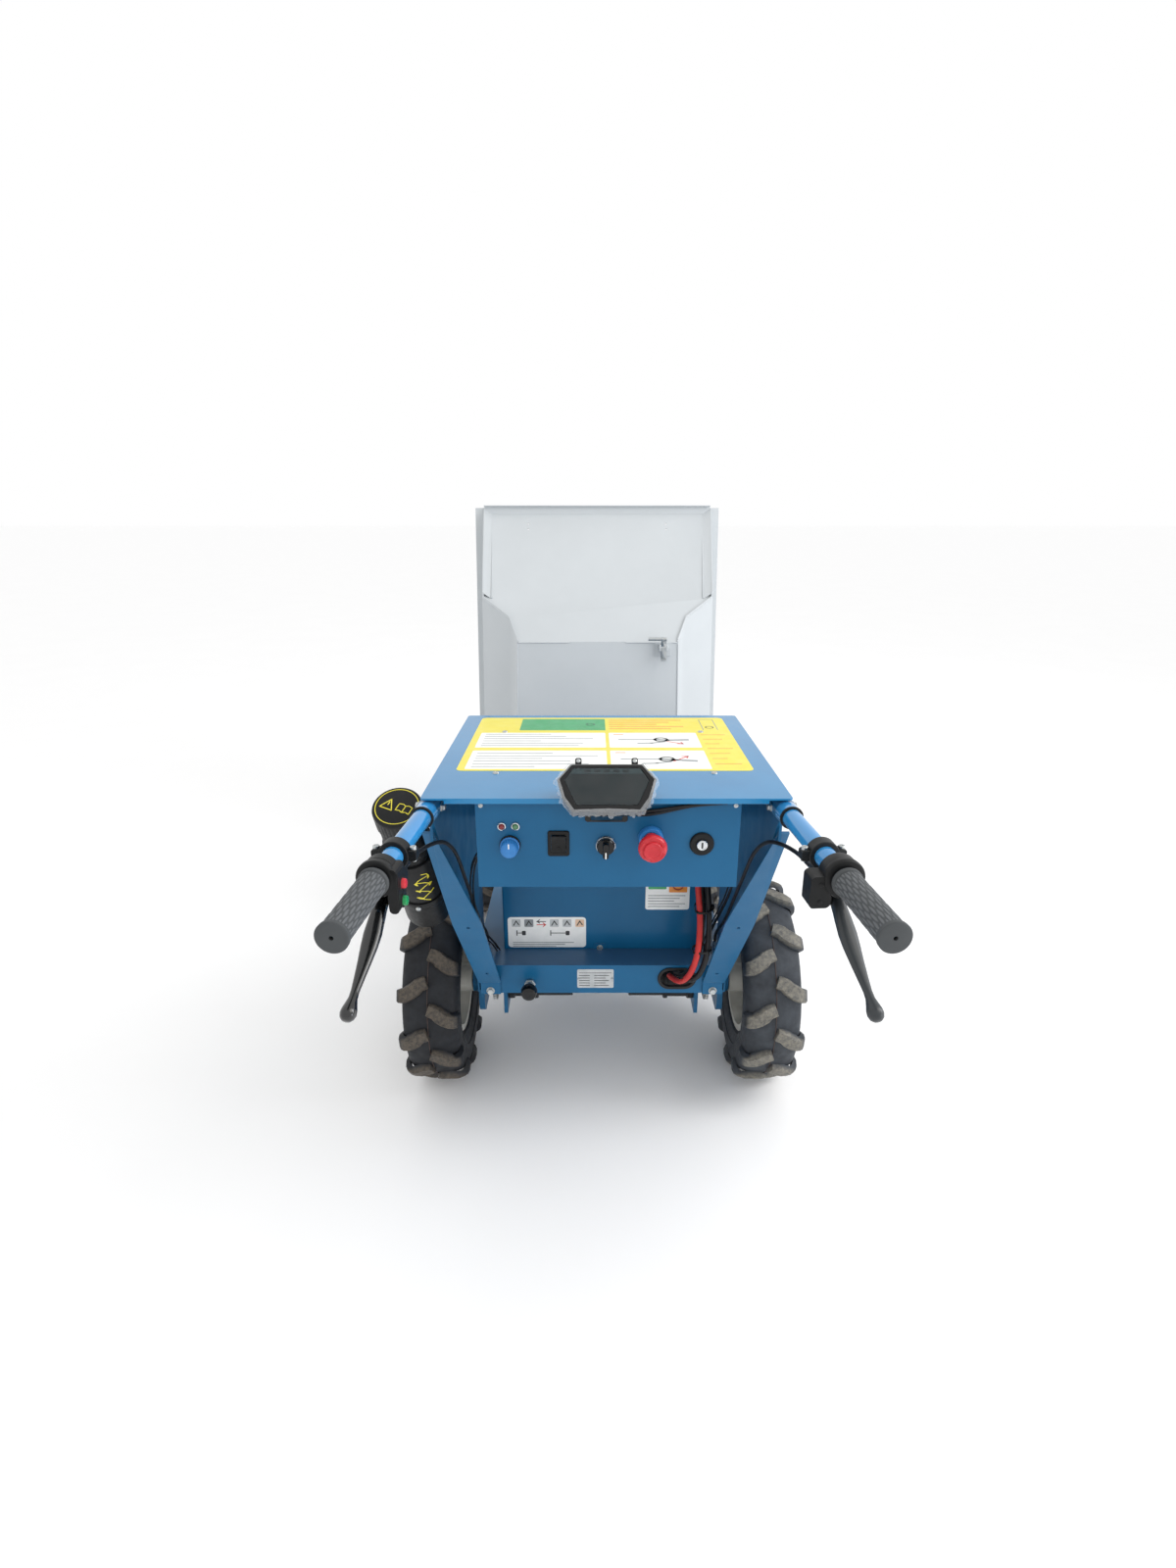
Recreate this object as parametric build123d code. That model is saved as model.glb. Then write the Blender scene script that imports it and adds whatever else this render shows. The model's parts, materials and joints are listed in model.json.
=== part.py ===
from build123d import *
import math
import os

# Power wheelbarrow (electric mini dumper), millimetres, +Z up, +Y the way it drives, +X to the right.
# Every piece is modelled about the rear axle (Y = 0) and moved to the centre of the whole at the end.
# The skip is modelled tipped out, the pose that the machine is stored in here.

# ---- wheels and running gear ----
TYRE_R = 207.5            # 4.00-8 agricultural tyre, over its bars
TYRE_HALF_W = 55.0
CARCASS_R = 196.0
BAR_COUNT = 12            # bars in each of the two rows of the tread
BAR_WIDTH = 17.0
BAR_LENGTH = 66.0
BAR_ANGLE = 38.0
RIM_R = 103.0             # bead seat of an 8 inch rim
RIM_HALF_W = 38.0
RIM_WALL = 4.0
RIM_FLANGE = 9.0
TRACK_HALF = 335.0        # wheel centre plane from the machine's centre plane
WHEELBASE = 720.0
AXLE_R = 10.0
RUNNING_GAP = 0.05        # radial clearance of a shaft in its bore
HUB_R = 30.0
HUB_IN = 61.0             # how far the hub reaches inboard of the wheel's centre plane
HUB_OUT = 20.0
SPROCKET_R = 41.5
CHAIN_GAP = 0.5
CHAIN_W = 8.0
CHAIN_T = 5.0
CHAIN_X = 225.0
MOTOR_R = 45.0
MOTOR_LENGTH = 137.0

# ---- chassis ----
RAIL_OUT = 245.0          # outer face of the box rails
RAIL_W = 40.0
RAIL_H = 60.0
RAIL_WALL = 4.0
RAIL_BOTTOM = 258.0
RAIL_FRONT = WHEELBASE + 152
REAR_FACE = -135.0        # rear plate's face
SHEET = 3.0               # chassis and console sheet
DECK_TOP = RAIL_BOTTOM + RAIL_H + SHEET
CONSOLE_HALF = 250.0
HANGER_T = 12.0
INNER_PLATE_T = 8.0
HANGER_HALF = 50.0
HANGER_DROP = 57.0        # below the axle
BEARING_T = 15.0
REAR_PLATE_HALF = 228.0

# ---- console ----
COVER_TOP = 786.0
COVER_HALF = 258.0
COVER_REAR = -452.0
COVER_FRONT = 11.5
COVER_LIP = 12.0
SIDE_FRONT = 5.0
PANEL_FACE = -441.0
PANEL_LEFT = -184.0
PANEL_RIGHT = 189.0
PANEL_BOTTOM = 645.6
PANEL_TOP = 777.6
PANEL_FLANGE = 26.0
BOX_HALF = 197.0
BOX_REAR = -73.0
BOX_FRONT = 200.0
BOX_TOP = 520.0
BOX_WALL = 2.0
BRACE_T = 4.0
BRACE_TOP = (-415.0, 722.0)      # Y, Z of the brace's upper end
BRACE_BOTTOM = (-145.0, 292.0)
BRACE_HOLE_R = 3.3
BRACE_HOLES = ((285.0, 233.6), (467.0, 219.4))   # each hole's distance down the brace and its X

# ---- handles ----
HANDLE_X = 250.5
HANDLE_Y = -448.0
HANDLE_Z = 765.0
SPLAY = 4.44
TUBE_R = 13.0
SOCKET_R = TUBE_R + 3
SOCKET_DEPTH = 60.0
GRIP_START = 217.0
GRIP_END = 342.0
GRIP_R = TUBE_R + 3.5
GRIP_FLANGE_R = TUBE_R + 5
POD_R = TUBE_R + 8
HOUSING_R = TUBE_R + 10
CLAMP_R = TUBE_R + 6
CLAMP_AT = 140.0
CLAMP_W = 18.0
LEVER_AT = 188.0          # lever's pivot along the handle
LEVER_DROP = 35.0         # and below it
LEVER_PIN_R = 3.0
LEVER_LENGTH = 157.0
LEVER_ANGLE = 27.4
POD_START = 184.0
POD_END = 214.0

# ---- skip, given by its height above the floor's underside and half-width there ----
SKIP_SHEET = 2.5
SKIP_FLOOR_Y = RAIL_FRONT + 8    # floor's underside when tipped
SKIP_REAR_Z = 790.0       # floor's rear edge when tipped
PIVOT_Y = RAIL_FRONT - 22
PIVOT_Z = 360.0
SKIP_LEVELS = ((0.0, 240.0), (55.0, 270.0), (105.0, 355.0), (330.0, 376.0))
SKIP_FLARE = 0.025        # each side's widening towards the front
SKIP_RIM = 25.0
SKIP_FLOOR_LENGTH = 515.0
SKIP_REAR_RISE = -360.0   # rear wall's top, from the floor's rear edge
SKIP_FRONT_RISE = 720.0
SKIP_EDGE = 20.0          # side plates stand past the rear wall
RIM_HOLE_R = 3.0
RIM_HOLE_PITCH = 22.0
RIM_HOLE_X = 220.0
RIM_HOLE_DROP = 42.0
PIVOT_SHAFT_R = 10.0
EAR_R = 25.0
LUG_R = 20.0
REST_GAP = 0.3            # between pieces of different bodies that rest on each other
LATCH_X = 195.0
LATCH_PIN = (SKIP_FLOOR_Y - 18, SKIP_REAR_Z - 14)    # Y, Z of the latch's pin
LATCH_PIN_R = 4.0

# ---- panel controls: X and Z of each centre on the panel ----
RED_LAMP = (-147.4, 740.8)
GREEN_LAMP = (-128.0, 740.8)
SPEED_KNOB = (-136.5, 712.0)
ROCKER = (-67.6, 714.5)
SELECTOR = (-0.7, 712.0)
ESTOP = (63.0, 724.0)
KEY = (135.8, 714.0)

# ---- display ----
DISPLAY_TILT = 48.0
DISPLAY_CENTRE = (0.0, -465.0, 808.0)
DISPLAY_T = 20.0
DISPLAY_OUTLINE = ((-50, 35), (50, 35), (68, 12), (60, -16), (47, -35), (-47, -35), (-60, -16), (-68, 12))
DISPLAY_WINDOW = ((-46, 28), (46, 28), (58, 10), (42, -26), (-42, -26), (-58, 10))
WINDOW_DEPTH = 1.5

# ---- manual canister ----
CANISTER_TOP = (-309.0, -380.0, 747.0)
CANISTER_TILT = 32.0
CANISTER_R = 35.0         # neck, under the cap
CANISTER_BODY_R = 40.0
CANISTER_SHOULDER = 112.0 # distance of the shoulder below the cap's top
CANISTER_LENGTH = 300.0
CANISTER_WALL = 3.0
CAP_R = 37.5
CAP_DEPTH = 35.0
CAP_GAP = 0.3

# ---- rear plate controls ----
GEAR_KNOB = (-141.0, 281.0)
GEAR_KNOB_R = 15.5
CABLE_HOLE = (148.0, 292.0)
CABLE_SLOT = (70.0, 42.0)

TIGHT = 0.02              # overlap of pieces that are one solid once fused


def block(x, y, z):
    """Box between pairs of limits."""
    size = (x[1] - x[0], y[1] - y[0], z[1] - z[0])
    middle = ((x[0] + x[1]) / 2, (y[0] + y[1]) / 2, (z[0] + z[1]) / 2)
    return Pos(*middle) * Box(*size)


def rod(start, end, radius, hole=0.0):
    """Round bar or tube between two points."""
    a, b = Vector(*start), Vector(*end)
    along = b - a
    plane = Plane(origin=a, z_dir=along)
    bar = extrude(plane * Circle(radius), amount=along.length)
    if hole:
        bar -= extrude(plane * Circle(hole), amount=along.length)
    return bar


def across(outline, x0, x1):
    """Prism along X over an outline given as (Y, Z) points."""
    wire = Wire.make_polygon([Vector(x0, y, z) for y, z in outline], close=True)
    return extrude(Face(wire), amount=x1 - x0, dir=(1, 0, 0))


def rounded(x, y, z, radius, axis=Axis.Z):
    """Block with the edges along one axis rounded."""
    body = block(x, y, z)
    return fillet(body.edges().filter_by(axis), radius)


def mirrored(shape):
    return mirror(shape, about=Plane.YZ)


def solid_group(*shapes):
    return Compound(children=[s for shape in shapes for s in shape.solids()])


# ---------------------------------------------------------------- wheels


def tyre():
    """Carcass of revolution with two staggered rows of slanting bars, axis along X."""
    bead, crown = RIM_HALF_W, TYRE_HALF_W - 5
    outer = [
        Line((-bead, RIM_R), (-bead, RIM_R + RIM_FLANGE + 1)),
        ThreePointArc((-bead, RIM_R + RIM_FLANGE + 1), (-TYRE_HALF_W, 152), (-crown, 186)),
        ThreePointArc((-crown, 186), (0, CARCASS_R), (crown, 186)),
        ThreePointArc((crown, 186), (TYRE_HALF_W, 152), (bead, RIM_R + RIM_FLANGE + 1)),
        Line((bead, RIM_R + RIM_FLANGE + 1), (bead, RIM_R)),
        Line((bead, RIM_R), (bead - 8, RIM_R)),
        ThreePointArc((bead - 8, RIM_R), (TYRE_HALF_W - 9, 150), (crown - 9, 178)),
        ThreePointArc((crown - 9, 178), (0, CARCASS_R - 10), (9 - crown, 178)),
        ThreePointArc((9 - crown, 178), (9 - TYRE_HALF_W, 150), (8 - bead, RIM_R)),
        Line((8 - bead, RIM_R), (-bead, RIM_R)),
    ]
    carcass = revolve(make_face(outer), axis=Axis.X)
    ring_outline = Polyline(
        (-TYRE_HALF_W, 178), (-TYRE_HALF_W, 190), (10 - TYRE_HALF_W, TYRE_R), (TYRE_HALF_W - 10, TYRE_R),
        (TYRE_HALF_W, 190), (TYRE_HALF_W, 178), close=True,
    )
    ring = revolve(make_face(ring_outline), axis=Axis.X)
    bars = []
    for side, offset in ((1, 0.0), (-1, 0.5)):
        blank = Pos(side * 28, 0, TYRE_R - 10) * Rot(0, 0, -side * BAR_ANGLE) * Box(BAR_LENGTH, BAR_WIDTH, 30)
        blank &= block((0, 80) if side > 0 else (-80, 0), (-60, 60), (0, 260))
        bar = blank & ring
        for i in range(BAR_COUNT):
            bars.append(Rot(180 + (i + offset) * 360 / BAR_COUNT, 0, 0) * bar)
    return carcass.fuse(*bars)


def wheel(right):
    """Rim, hub, axle and sprocket, one welded piece, axis along X, for the right-hand side."""
    rim = Polyline(
        (-RIM_HALF_W - RIM_WALL, RIM_R + RIM_FLANGE), (-RIM_HALF_W, RIM_R + RIM_FLANGE), (-RIM_HALF_W, RIM_R),
        (-12, RIM_R), (-8, RIM_R - 12), (8, RIM_R - 12), (12, RIM_R), (RIM_HALF_W, RIM_R),
        (RIM_HALF_W, RIM_R + RIM_FLANGE), (RIM_HALF_W + RIM_WALL, RIM_R + RIM_FLANGE),
        (RIM_HALF_W + RIM_WALL, RIM_R - RIM_WALL), (15, RIM_R - RIM_WALL), (11, RIM_R - 16),
        (-11, RIM_R - 16), (-15, RIM_R - RIM_WALL), (-RIM_HALF_W - RIM_WALL, RIM_R - RIM_WALL), close=True,
    )
    body = revolve(make_face(rim), axis=Axis.X)
    body += rod((-4, 0, 0), (0, 0, 0), RIM_R - 14) - disc_holes()
    body += rod((-HUB_IN, 0, 0), (HUB_OUT, 0, 0), HUB_R)
    inner = RAIL_OUT - RAIL_W + REST_GAP - TRACK_HALF - INNER_PLATE_T
    body += rod((inner, 0, 0), (HUB_OUT + 12, 0, 0), AXLE_R)
    chain = CHAIN_X - TRACK_HALF
    body += rod((chain - CHAIN_W / 2, 0, 0), (chain + CHAIN_W / 2, 0, 0), SPROCKET_R)
    nut = Plane(origin=(HUB_OUT, 0, 0), z_dir=(1, 0, 0)) * RegularPolygon(15, 6)
    body += extrude(nut, amount=10)
    return body if right else mirrored(body)


def disc_holes():
    holes = [Rot(60 * i, 0, 0) * rod((-9, 0, 60), (5, 0, 60), 12) for i in range(6)]
    return Compound(children=holes)


def running_gear():
    parts = {}
    tyre_shape = tyre()
    for end, y in (("rear", 0.0), ("front", WHEELBASE)):
        for side, sign in (("left", -1), ("right", 1)):
            place = Pos(sign * TRACK_HALF, y, TYRE_R)
            half = tyre_shape if sign > 0 else mirrored(tyre_shape)
            parts[f"tyre_{end}_{side}"] = place * half
            parts[f"wheel_{end}_{side}"] = place * wheel(sign > 0)
    return parts


def hangers():
    """Outer plates with bearings and inner plates, two of each at both axles of one side, then mirrored."""
    outer_in = RAIL_OUT
    outer_out = outer_in + HANGER_T
    inner_out = RAIL_OUT - RAIL_W
    top = RAIL_BOTTOM + RAIL_H
    plates = []
    for y in (0.0, WHEELBASE):
        reach = (y - HANGER_HALF, y + HANGER_HALF)
        bottom = TYRE_R - HANGER_DROP
        bore = rod((inner_out - 40, y, TYRE_R), (outer_out + 60, y, TYRE_R), AXLE_R + RUNNING_GAP)
        plate = rounded((outer_in, outer_out), reach, (bottom, top), 18, Axis.X)
        housing = rod((outer_out, y, TYRE_R), (outer_out + BEARING_T, y, TYRE_R), HUB_R)
        plates.append(plate + housing - bore)
        plates.append(block((inner_out - INNER_PLATE_T, inner_out), reach, (bottom, top)) - bore)
    return plates + [mirrored(p) for p in plates]


def gearmotor():
    """Motor and gearbox of the right-hand rear wheel, flange against the inner plate."""
    face = RAIL_OUT - RAIL_W - INNER_PLATE_T
    body = rod((face, 0, TYRE_R), (face - 12, 0, TYRE_R), MOTOR_R)
    body += rod((face - 12, 0, TYRE_R), (face - 55, 0, TYRE_R), MOTOR_R - 4)
    body += rod((face - 55, 0, TYRE_R), (face - 63, 0, TYRE_R), MOTOR_R)
    body += rod((face - 63, 0, TYRE_R), (face - MOTOR_LENGTH, 0, TYRE_R), MOTOR_R - 6)
    return body


def drive_chain():
    """Chain loop over both sprockets of the right-hand side."""
    inner = SPROCKET_R + CHAIN_GAP
    outer = inner + CHAIN_T
    plane = Plane(origin=(CHAIN_X - CHAIN_W / 2, WHEELBASE / 2, TYRE_R), x_dir=(0, 1, 0), z_dir=(1, 0, 0))
    band = SlotCenterToCenter(WHEELBASE, 2 * outer) - SlotCenterToCenter(WHEELBASE, 2 * inner)
    return extrude(plane * band, amount=CHAIN_W)


# ---------------------------------------------------------------- chassis


def rail():
    x = (RAIL_OUT - RAIL_W, RAIL_OUT)
    z = (RAIL_BOTTOM, RAIL_BOTTOM + RAIL_H)
    outside = block(x, (REAR_FACE + SHEET, RAIL_FRONT), z)
    inside = block(
        (x[0] + RAIL_WALL, x[1] - RAIL_WALL), (REAR_FACE, RAIL_FRONT + 10), (z[0] + RAIL_WALL, z[1] - RAIL_WALL)
    )
    return outside - inside


def front_beam():
    half = RAIL_OUT - RAIL_W
    z = (RAIL_BOTTOM, RAIL_BOTTOM + RAIL_H)
    beam = block((-half, half), (RAIL_FRONT - 40, RAIL_FRONT), z)
    return beam - block((-half - 1, half + 1), (RAIL_FRONT - 36, RAIL_FRONT - 4), (z[0] + 4, z[1] - 4))


def deck_plate():
    deck = block((-CONSOLE_HALF, CONSOLE_HALF), (BOX_REAR, PIVOT_Y - EAR_R - 3), (DECK_TOP - SHEET, DECK_TOP))
    for y in (320, 620):
        deck -= rounded((-90, 90), (y - 60, y + 60), (DECK_TOP - 10, DECK_TOP + 10), 20)
    return deck


def rear_plate():
    """Bent plate: upright face and the shelf on top of it."""
    x = (-REAR_PLATE_HALF, REAR_PLATE_HALF)
    plate = block(x, (REAR_FACE, REAR_FACE + SHEET), (RAIL_BOTTOM, DECK_TOP))
    plate += block(x, (REAR_FACE, BOX_REAR), (DECK_TOP - SHEET, DECK_TOP))
    hole_x, hole_z = CABLE_HOLE
    slot = Plane(origin=(hole_x, REAR_FACE - 5, hole_z), x_dir=(1, 0, 0), z_dir=(0, 1, 0)) * SlotOverall(*CABLE_SLOT)
    plate -= extrude(slot, amount=12)
    knob_x, knob_z = GEAR_KNOB
    plate -= rod((knob_x, REAR_FACE - 5, knob_z), (knob_x, REAR_FACE + 10, knob_z), 8)
    return plate


def cable_grommet():
    hole_x, hole_z = CABLE_HOLE
    plane = Plane(origin=(hole_x, REAR_FACE - 3, hole_z), x_dir=(1, 0, 0), z_dir=(0, 1, 0))
    length, height = CABLE_SLOT
    ring = extrude(plane * SlotOverall(length + 6, height + 6), amount=3)
    ring += extrude(plane * SlotOverall(length, height), amount=8)
    return ring - extrude(plane * SlotOverall(length - 6, height - 6), amount=12)


def pivot_bracket():
    """Ear on the right-hand rail that holds the skip's pivot shaft."""
    ear = across(
        [(PIVOT_Y - EAR_R, DECK_TOP - SHEET), (PIVOT_Y + 22, DECK_TOP - SHEET), (PIVOT_Y + EAR_R, PIVOT_Z),
         (PIVOT_Y - EAR_R, PIVOT_Z)], 226, 234,
    )
    ear += rod((226, PIVOT_Y, PIVOT_Z), (234, PIVOT_Y, PIVOT_Z), EAR_R)
    return ear - rod((200, PIVOT_Y, PIVOT_Z), (250, PIVOT_Y, PIVOT_Z), PIVOT_SHAFT_R)


def pivot_shaft():
    shaft = rod((-238, PIVOT_Y, PIVOT_Z), (238, PIVOT_Y, PIVOT_Z), PIVOT_SHAFT_R)
    for sign in (-1, 1):
        shaft += rod((sign * 234, PIVOT_Y, PIVOT_Z), (sign * 240, PIVOT_Y, PIVOT_Z), PIVOT_SHAFT_R + 5)
    return shaft


def rubber_stops():
    """Posts under the lowered skip and pads on the rail ends that stop the tipped one."""
    lowered_floor = PIVOT_Z + SKIP_FLOOR_Y - PIVOT_Y
    post = block((80, 120), (440, 480), (DECK_TOP, lowered_floor - REST_GAP))
    top = RAIL_BOTTOM + RAIL_H
    pad = block((RAIL_OUT - RAIL_W, RAIL_OUT), (RAIL_FRONT, SKIP_FLOOR_Y - REST_GAP), (top - 20, top - 2))
    return [post, pad, mirrored(post), mirrored(pad)]


# ---------------------------------------------------------------- console


def console_side():
    """Right-hand side plate, notched for the handle socket."""
    outline = [
        (PANEL_FACE, COVER_TOP - SHEET), (SIDE_FRONT, COVER_TOP - SHEET), (SIDE_FRONT, DECK_TOP),
        (BOX_REAR, DECK_TOP), (BOX_REAR, DECK_TOP + 20), (REAR_FACE, DECK_TOP + 20), (REAR_FACE, DECK_TOP + 30),
        (-425, 740), (PANEL_FACE, 748),
    ]
    plate = across(outline, CONSOLE_HALF - SHEET, CONSOLE_HALF)
    return plate - on_handle(rod((0, SOCKET_DEPTH, 0), (0, -20, 0), SOCKET_R), 1)


def console_front():
    """Plate that closes the console above the battery box, between the side plates."""
    half = CONSOLE_HALF - SHEET
    plate = block((-half, half), (SIDE_FRONT - SHEET, SIDE_FRONT), (BOX_TOP + 60, COVER_TOP - SHEET))
    for x in (-120, 0, 120):
        slot = Plane(origin=(x, SIDE_FRONT - 10, 640), x_dir=(1, 0, 0), z_dir=(0, 1, 0)) * SlotOverall(70, 6)
        for i in range(4):
            plate -= extrude(Pos(0, 0, 14 * i) * slot, amount=20)
    return plate


def top_cover():
    cover = rounded((-COVER_HALF, COVER_HALF), (COVER_REAR, COVER_FRONT), (COVER_TOP - SHEET, COVER_TOP), 6)
    lip_x = (6 - COVER_HALF, COVER_HALF - 6)
    lip_z = (COVER_TOP - COVER_LIP, COVER_TOP - SHEET)
    cover += block(lip_x, (COVER_FRONT - 2, COVER_FRONT), lip_z)
    cover += block((-225, 225), (COVER_REAR, COVER_REAR + 2), (COVER_TOP - 8, COVER_TOP - SHEET))
    return cover


def control_panel():
    """Shallow tray, open to the front of the machine, bored for its controls."""
    x, z = (PANEL_LEFT, PANEL_RIGHT), (PANEL_BOTTOM, PANEL_TOP)
    tray = block(x, (PANEL_FACE, PANEL_FACE + PANEL_FLANGE), z)
    tray -= block(
        (x[0] + SHEET, x[1] - SHEET), (PANEL_FACE + SHEET, PANEL_FACE + PANEL_FLANGE + 1),
        (z[0] + SHEET, z[1] - SHEET),
    )
    for (cx, cz), radius in (
        (RED_LAMP, 4), (GREEN_LAMP, 4), (SPEED_KNOB, 5), (SELECTOR, 9.5), (ESTOP, 11.5), (KEY, 9.5),
    ):
        tray -= rod((cx, PANEL_FACE - 5, cz), (cx, PANEL_FACE + 10, cz), radius)
    tray -= block((ROCKER[0] - 12, ROCKER[0] + 12), (PANEL_FACE - 5, PANEL_FACE + 10), (ROCKER[1] - 16, ROCKER[1] + 16))
    return tray


def panel_mounts():
    """Angles that hang the panel under the cover."""
    mounts = []
    for x in (-150, 150):
        y = (PANEL_FACE + 4, PANEL_FACE + PANEL_FLANGE)
        mounts.append(block((x - 18, x + 18), y, (PANEL_TOP, COVER_TOP - SHEET)))
    return mounts


def battery_box():
    outside = block((-BOX_HALF, BOX_HALF), (BOX_REAR, BOX_FRONT), (DECK_TOP, BOX_TOP))
    inside = block(
        (BOX_WALL - BOX_HALF, BOX_HALF - BOX_WALL), (BOX_REAR + BOX_WALL, BOX_FRONT - BOX_WALL),
        (DECK_TOP + BOX_WALL, BOX_TOP - BOX_WALL),
    )
    return fillet(outside.edges().filter_by(Axis.Z), 3) - inside


def battery_pack():
    z = (DECK_TOP + BOX_WALL, BOX_TOP - 22)
    return [block(x, (BOX_REAR + 8, BOX_FRONT - 14), z) for x in ((-188, -4), (4, 188))]


def motor_controller():
    body = block((-95, 95), (-30, 110), (BOX_TOP, BOX_TOP + 42))
    for i in range(9):
        x = -88 + 22 * i
        body += block((x - 2, x + 2), (-28, 108), (BOX_TOP + 42 - TIGHT, BOX_TOP + 54))
    return body


def brace():
    """Right-hand brace: sloping plate with a foot on the rear plate and an ear on the console's side."""
    (y0, z0), (y1, z1) = BRACE_TOP, BRACE_BOTTOM
    length = math.hypot(y1 - y0, z1 - z0)
    plane = Plane(origin=(0, y0, z0), x_dir=(1, 0, 0), z_dir=(0, -(z0 - z1) / length, -(y1 - y0) / length))
    # In this plane local Y runs down the brace when it is negative.
    outline = [(250.4, 0), (266, 0), (259.5, -273), (240, -length), (197, -length), (209, -273)]
    plate = extrude(plane * make_face(Polyline(*outline, close=True)), amount=BRACE_T)
    for s, x in BRACE_HOLES:
        plate -= extrude(plane * Pos(x, -s, -5) * Circle(BRACE_HOLE_R), amount=30)
    plate += block((199, 238), (REAR_FACE - 4, REAR_FACE), (RAIL_BOTTOM, DECK_TOP - 27))
    plate += block((199, 238), (BRACE_BOTTOM[0] - 3, REAR_FACE), (DECK_TOP - 31, DECK_TOP - 27))
    plate += block((CONSOLE_HALF, 254), (BRACE_TOP[0] - 4, BRACE_TOP[0] + 30), (z0 - 22, z0 + 18))
    return plate


# ---------------------------------------------------------------- handles


def on_handle(shape, side):
    """Place a shape built about a straight handle (from the origin along -Y) on the left or right."""
    return Pos(side * HANDLE_X, HANDLE_Y, HANDLE_Z) * Rot(0, 0, side * SPLAY) * shape


def handle_tube():
    end = GRIP_END - 5
    return rod((0, SOCKET_DEPTH, 0), (0, -end, 0), TUBE_R, TUBE_R - 2)


def socket():
    ring = rod((0, SOCKET_DEPTH, 0), (0, 0, 0), SOCKET_R, TUBE_R)
    return ring


def grip():
    """Rubber grip with a collar at the inner end and a closed outer end."""
    body = rod((0, -GRIP_START, 0), (0, -GRIP_END, 0), GRIP_R)
    body += rod((0, -GRIP_START, 0), (0, -GRIP_START - 5, 0), GRIP_FLANGE_R)
    body += rod((0, 4 - GRIP_END, 0), (0, -GRIP_END, 0), GRIP_FLANGE_R)
    body -= rod((0, -GRIP_START, 0), (0, 5 - GRIP_END, 0), TUBE_R)
    return body - rod((0, -GRIP_START, 0), (0, -GRIP_END - 1, 0), 2.5)


def throttle_sleeve():
    """The right-hand grip turns on its tube, so its bore has a running clearance."""
    body = grip() - rod((0, -GRIP_START, 0), (0, 5 - GRIP_END - CAP_GAP, 0), TUBE_R + RUNNING_GAP)
    return Pos(0, -CAP_GAP, 0) * body


def switch_pod():
    """Pod with two buttons on its inboard face, for the left-hand handle."""
    y = (-POD_END, -POD_START)
    pod = rod((0, -POD_START, 0), (0, -POD_END, 0), POD_R)
    pod += rounded((TUBE_R - 1, TUBE_R + 13), y, (-44, 14), 5, Axis.Y)
    pod -= rod((0, 0, 0), (0, -300, 0), TUBE_R)
    for z in (-10, -32):
        pod -= rod((TUBE_R + 3, -199, z), (TUBE_R + 30, -199, z), 6.3)
    return pod


def pod_button(z):
    return rod((TUBE_R + 5.8, -199, z), (TUBE_R + 18, -199, z), 6)


def throttle_housing():
    """Round housing with its cable box low on the inboard side, for the right-hand handle."""
    body = rod((0, -POD_START, 0), (0, -POD_END, 0), HOUSING_R)
    body += rounded((-TUBE_R - 26, -TUBE_R - 1), (2 - POD_END, -POD_START - 2), (-36, 4), 6, Axis.Y)
    return body - rod((0, 0, 0), (0, -300, 0), TUBE_R)


def brake_perch():
    """Split clamp, arm and forked ears with the lever's pin."""
    clamp = rod((0, CLAMP_W / 2 - CLAMP_AT, 0), (0, -CLAMP_W / 2 - CLAMP_AT, 0), CLAMP_R, TUBE_R)
    for sign in (-1, 1):
        x = (CLAMP_R - 3, CLAMP_R + 9) if sign > 0 else (-CLAMP_R - 9, 3 - CLAMP_R)
        clamp += block(x, (-CLAMP_AT - 7, -CLAMP_AT + 7), (-6, 6))
    arm = block((-14, 10), (-LEVER_AT + 16, -CLAMP_AT + 12), (-46, -16))
    arm -= rod((0, 0, 0), (0, -300, 0), TUBE_R + 4)
    body = clamp + arm
    for x in ((-14, -10.5), (6.5, 10)):
        ear = block(x, (-LEVER_AT, -LEVER_AT + 17), (-LEVER_DROP - 10, -LEVER_DROP + 10))
        ear += rod((x[0], -LEVER_AT, -LEVER_DROP), (x[1], -LEVER_AT, -LEVER_DROP), 10)
        body += ear
    body += rod((-16, -LEVER_AT, -LEVER_DROP), (12, -LEVER_AT, -LEVER_DROP), LEVER_PIN_R)
    return body


def brake_lever():
    """Tapering blade with a ball end, hinged on the perch's pin."""
    turn = math.radians(LEVER_ANGLE)
    plane = Plane(
        origin=(-2, -LEVER_AT, -LEVER_DROP), x_dir=(0, -math.cos(turn), -math.sin(turn)), z_dir=(1, 0, 0)
    )
    reach = LEVER_LENGTH - 9
    outline = Polyline((0, -9), (30, -8), (75, -3), (reach, -4), (reach, 4), (75, 6), (30, 7), (0, 9), close=True)
    blade = extrude(plane * make_face(outline), amount=7.5, both=True)
    blade += rod((-10, -LEVER_AT, -LEVER_DROP), (6, -LEVER_AT, -LEVER_DROP), 9.5)
    blade += plane * Pos(reach, 0, 0) * Sphere(9)
    return blade - rod((-20, -LEVER_AT, -LEVER_DROP), (20, -LEVER_AT, -LEVER_DROP), LEVER_PIN_R + RUNNING_GAP)


def park_lock():
    """Small catch on the right-hand perch that holds the lever pulled in."""
    arm = rod((10.3, -LEVER_AT + 34, -40), (14.3, -LEVER_AT + 34, -40), 6)
    arm += block((10.3, 14.3), (-LEVER_AT + 30, -LEVER_AT + 38), (-66, -40))
    return arm


# ---------------------------------------------------------------- display


def display_plane():
    tilt = math.radians(DISPLAY_TILT)
    return Plane(origin=DISPLAY_CENTRE, x_dir=(1, 0, 0), z_dir=(0, -math.sin(tilt), math.cos(tilt)))


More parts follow.
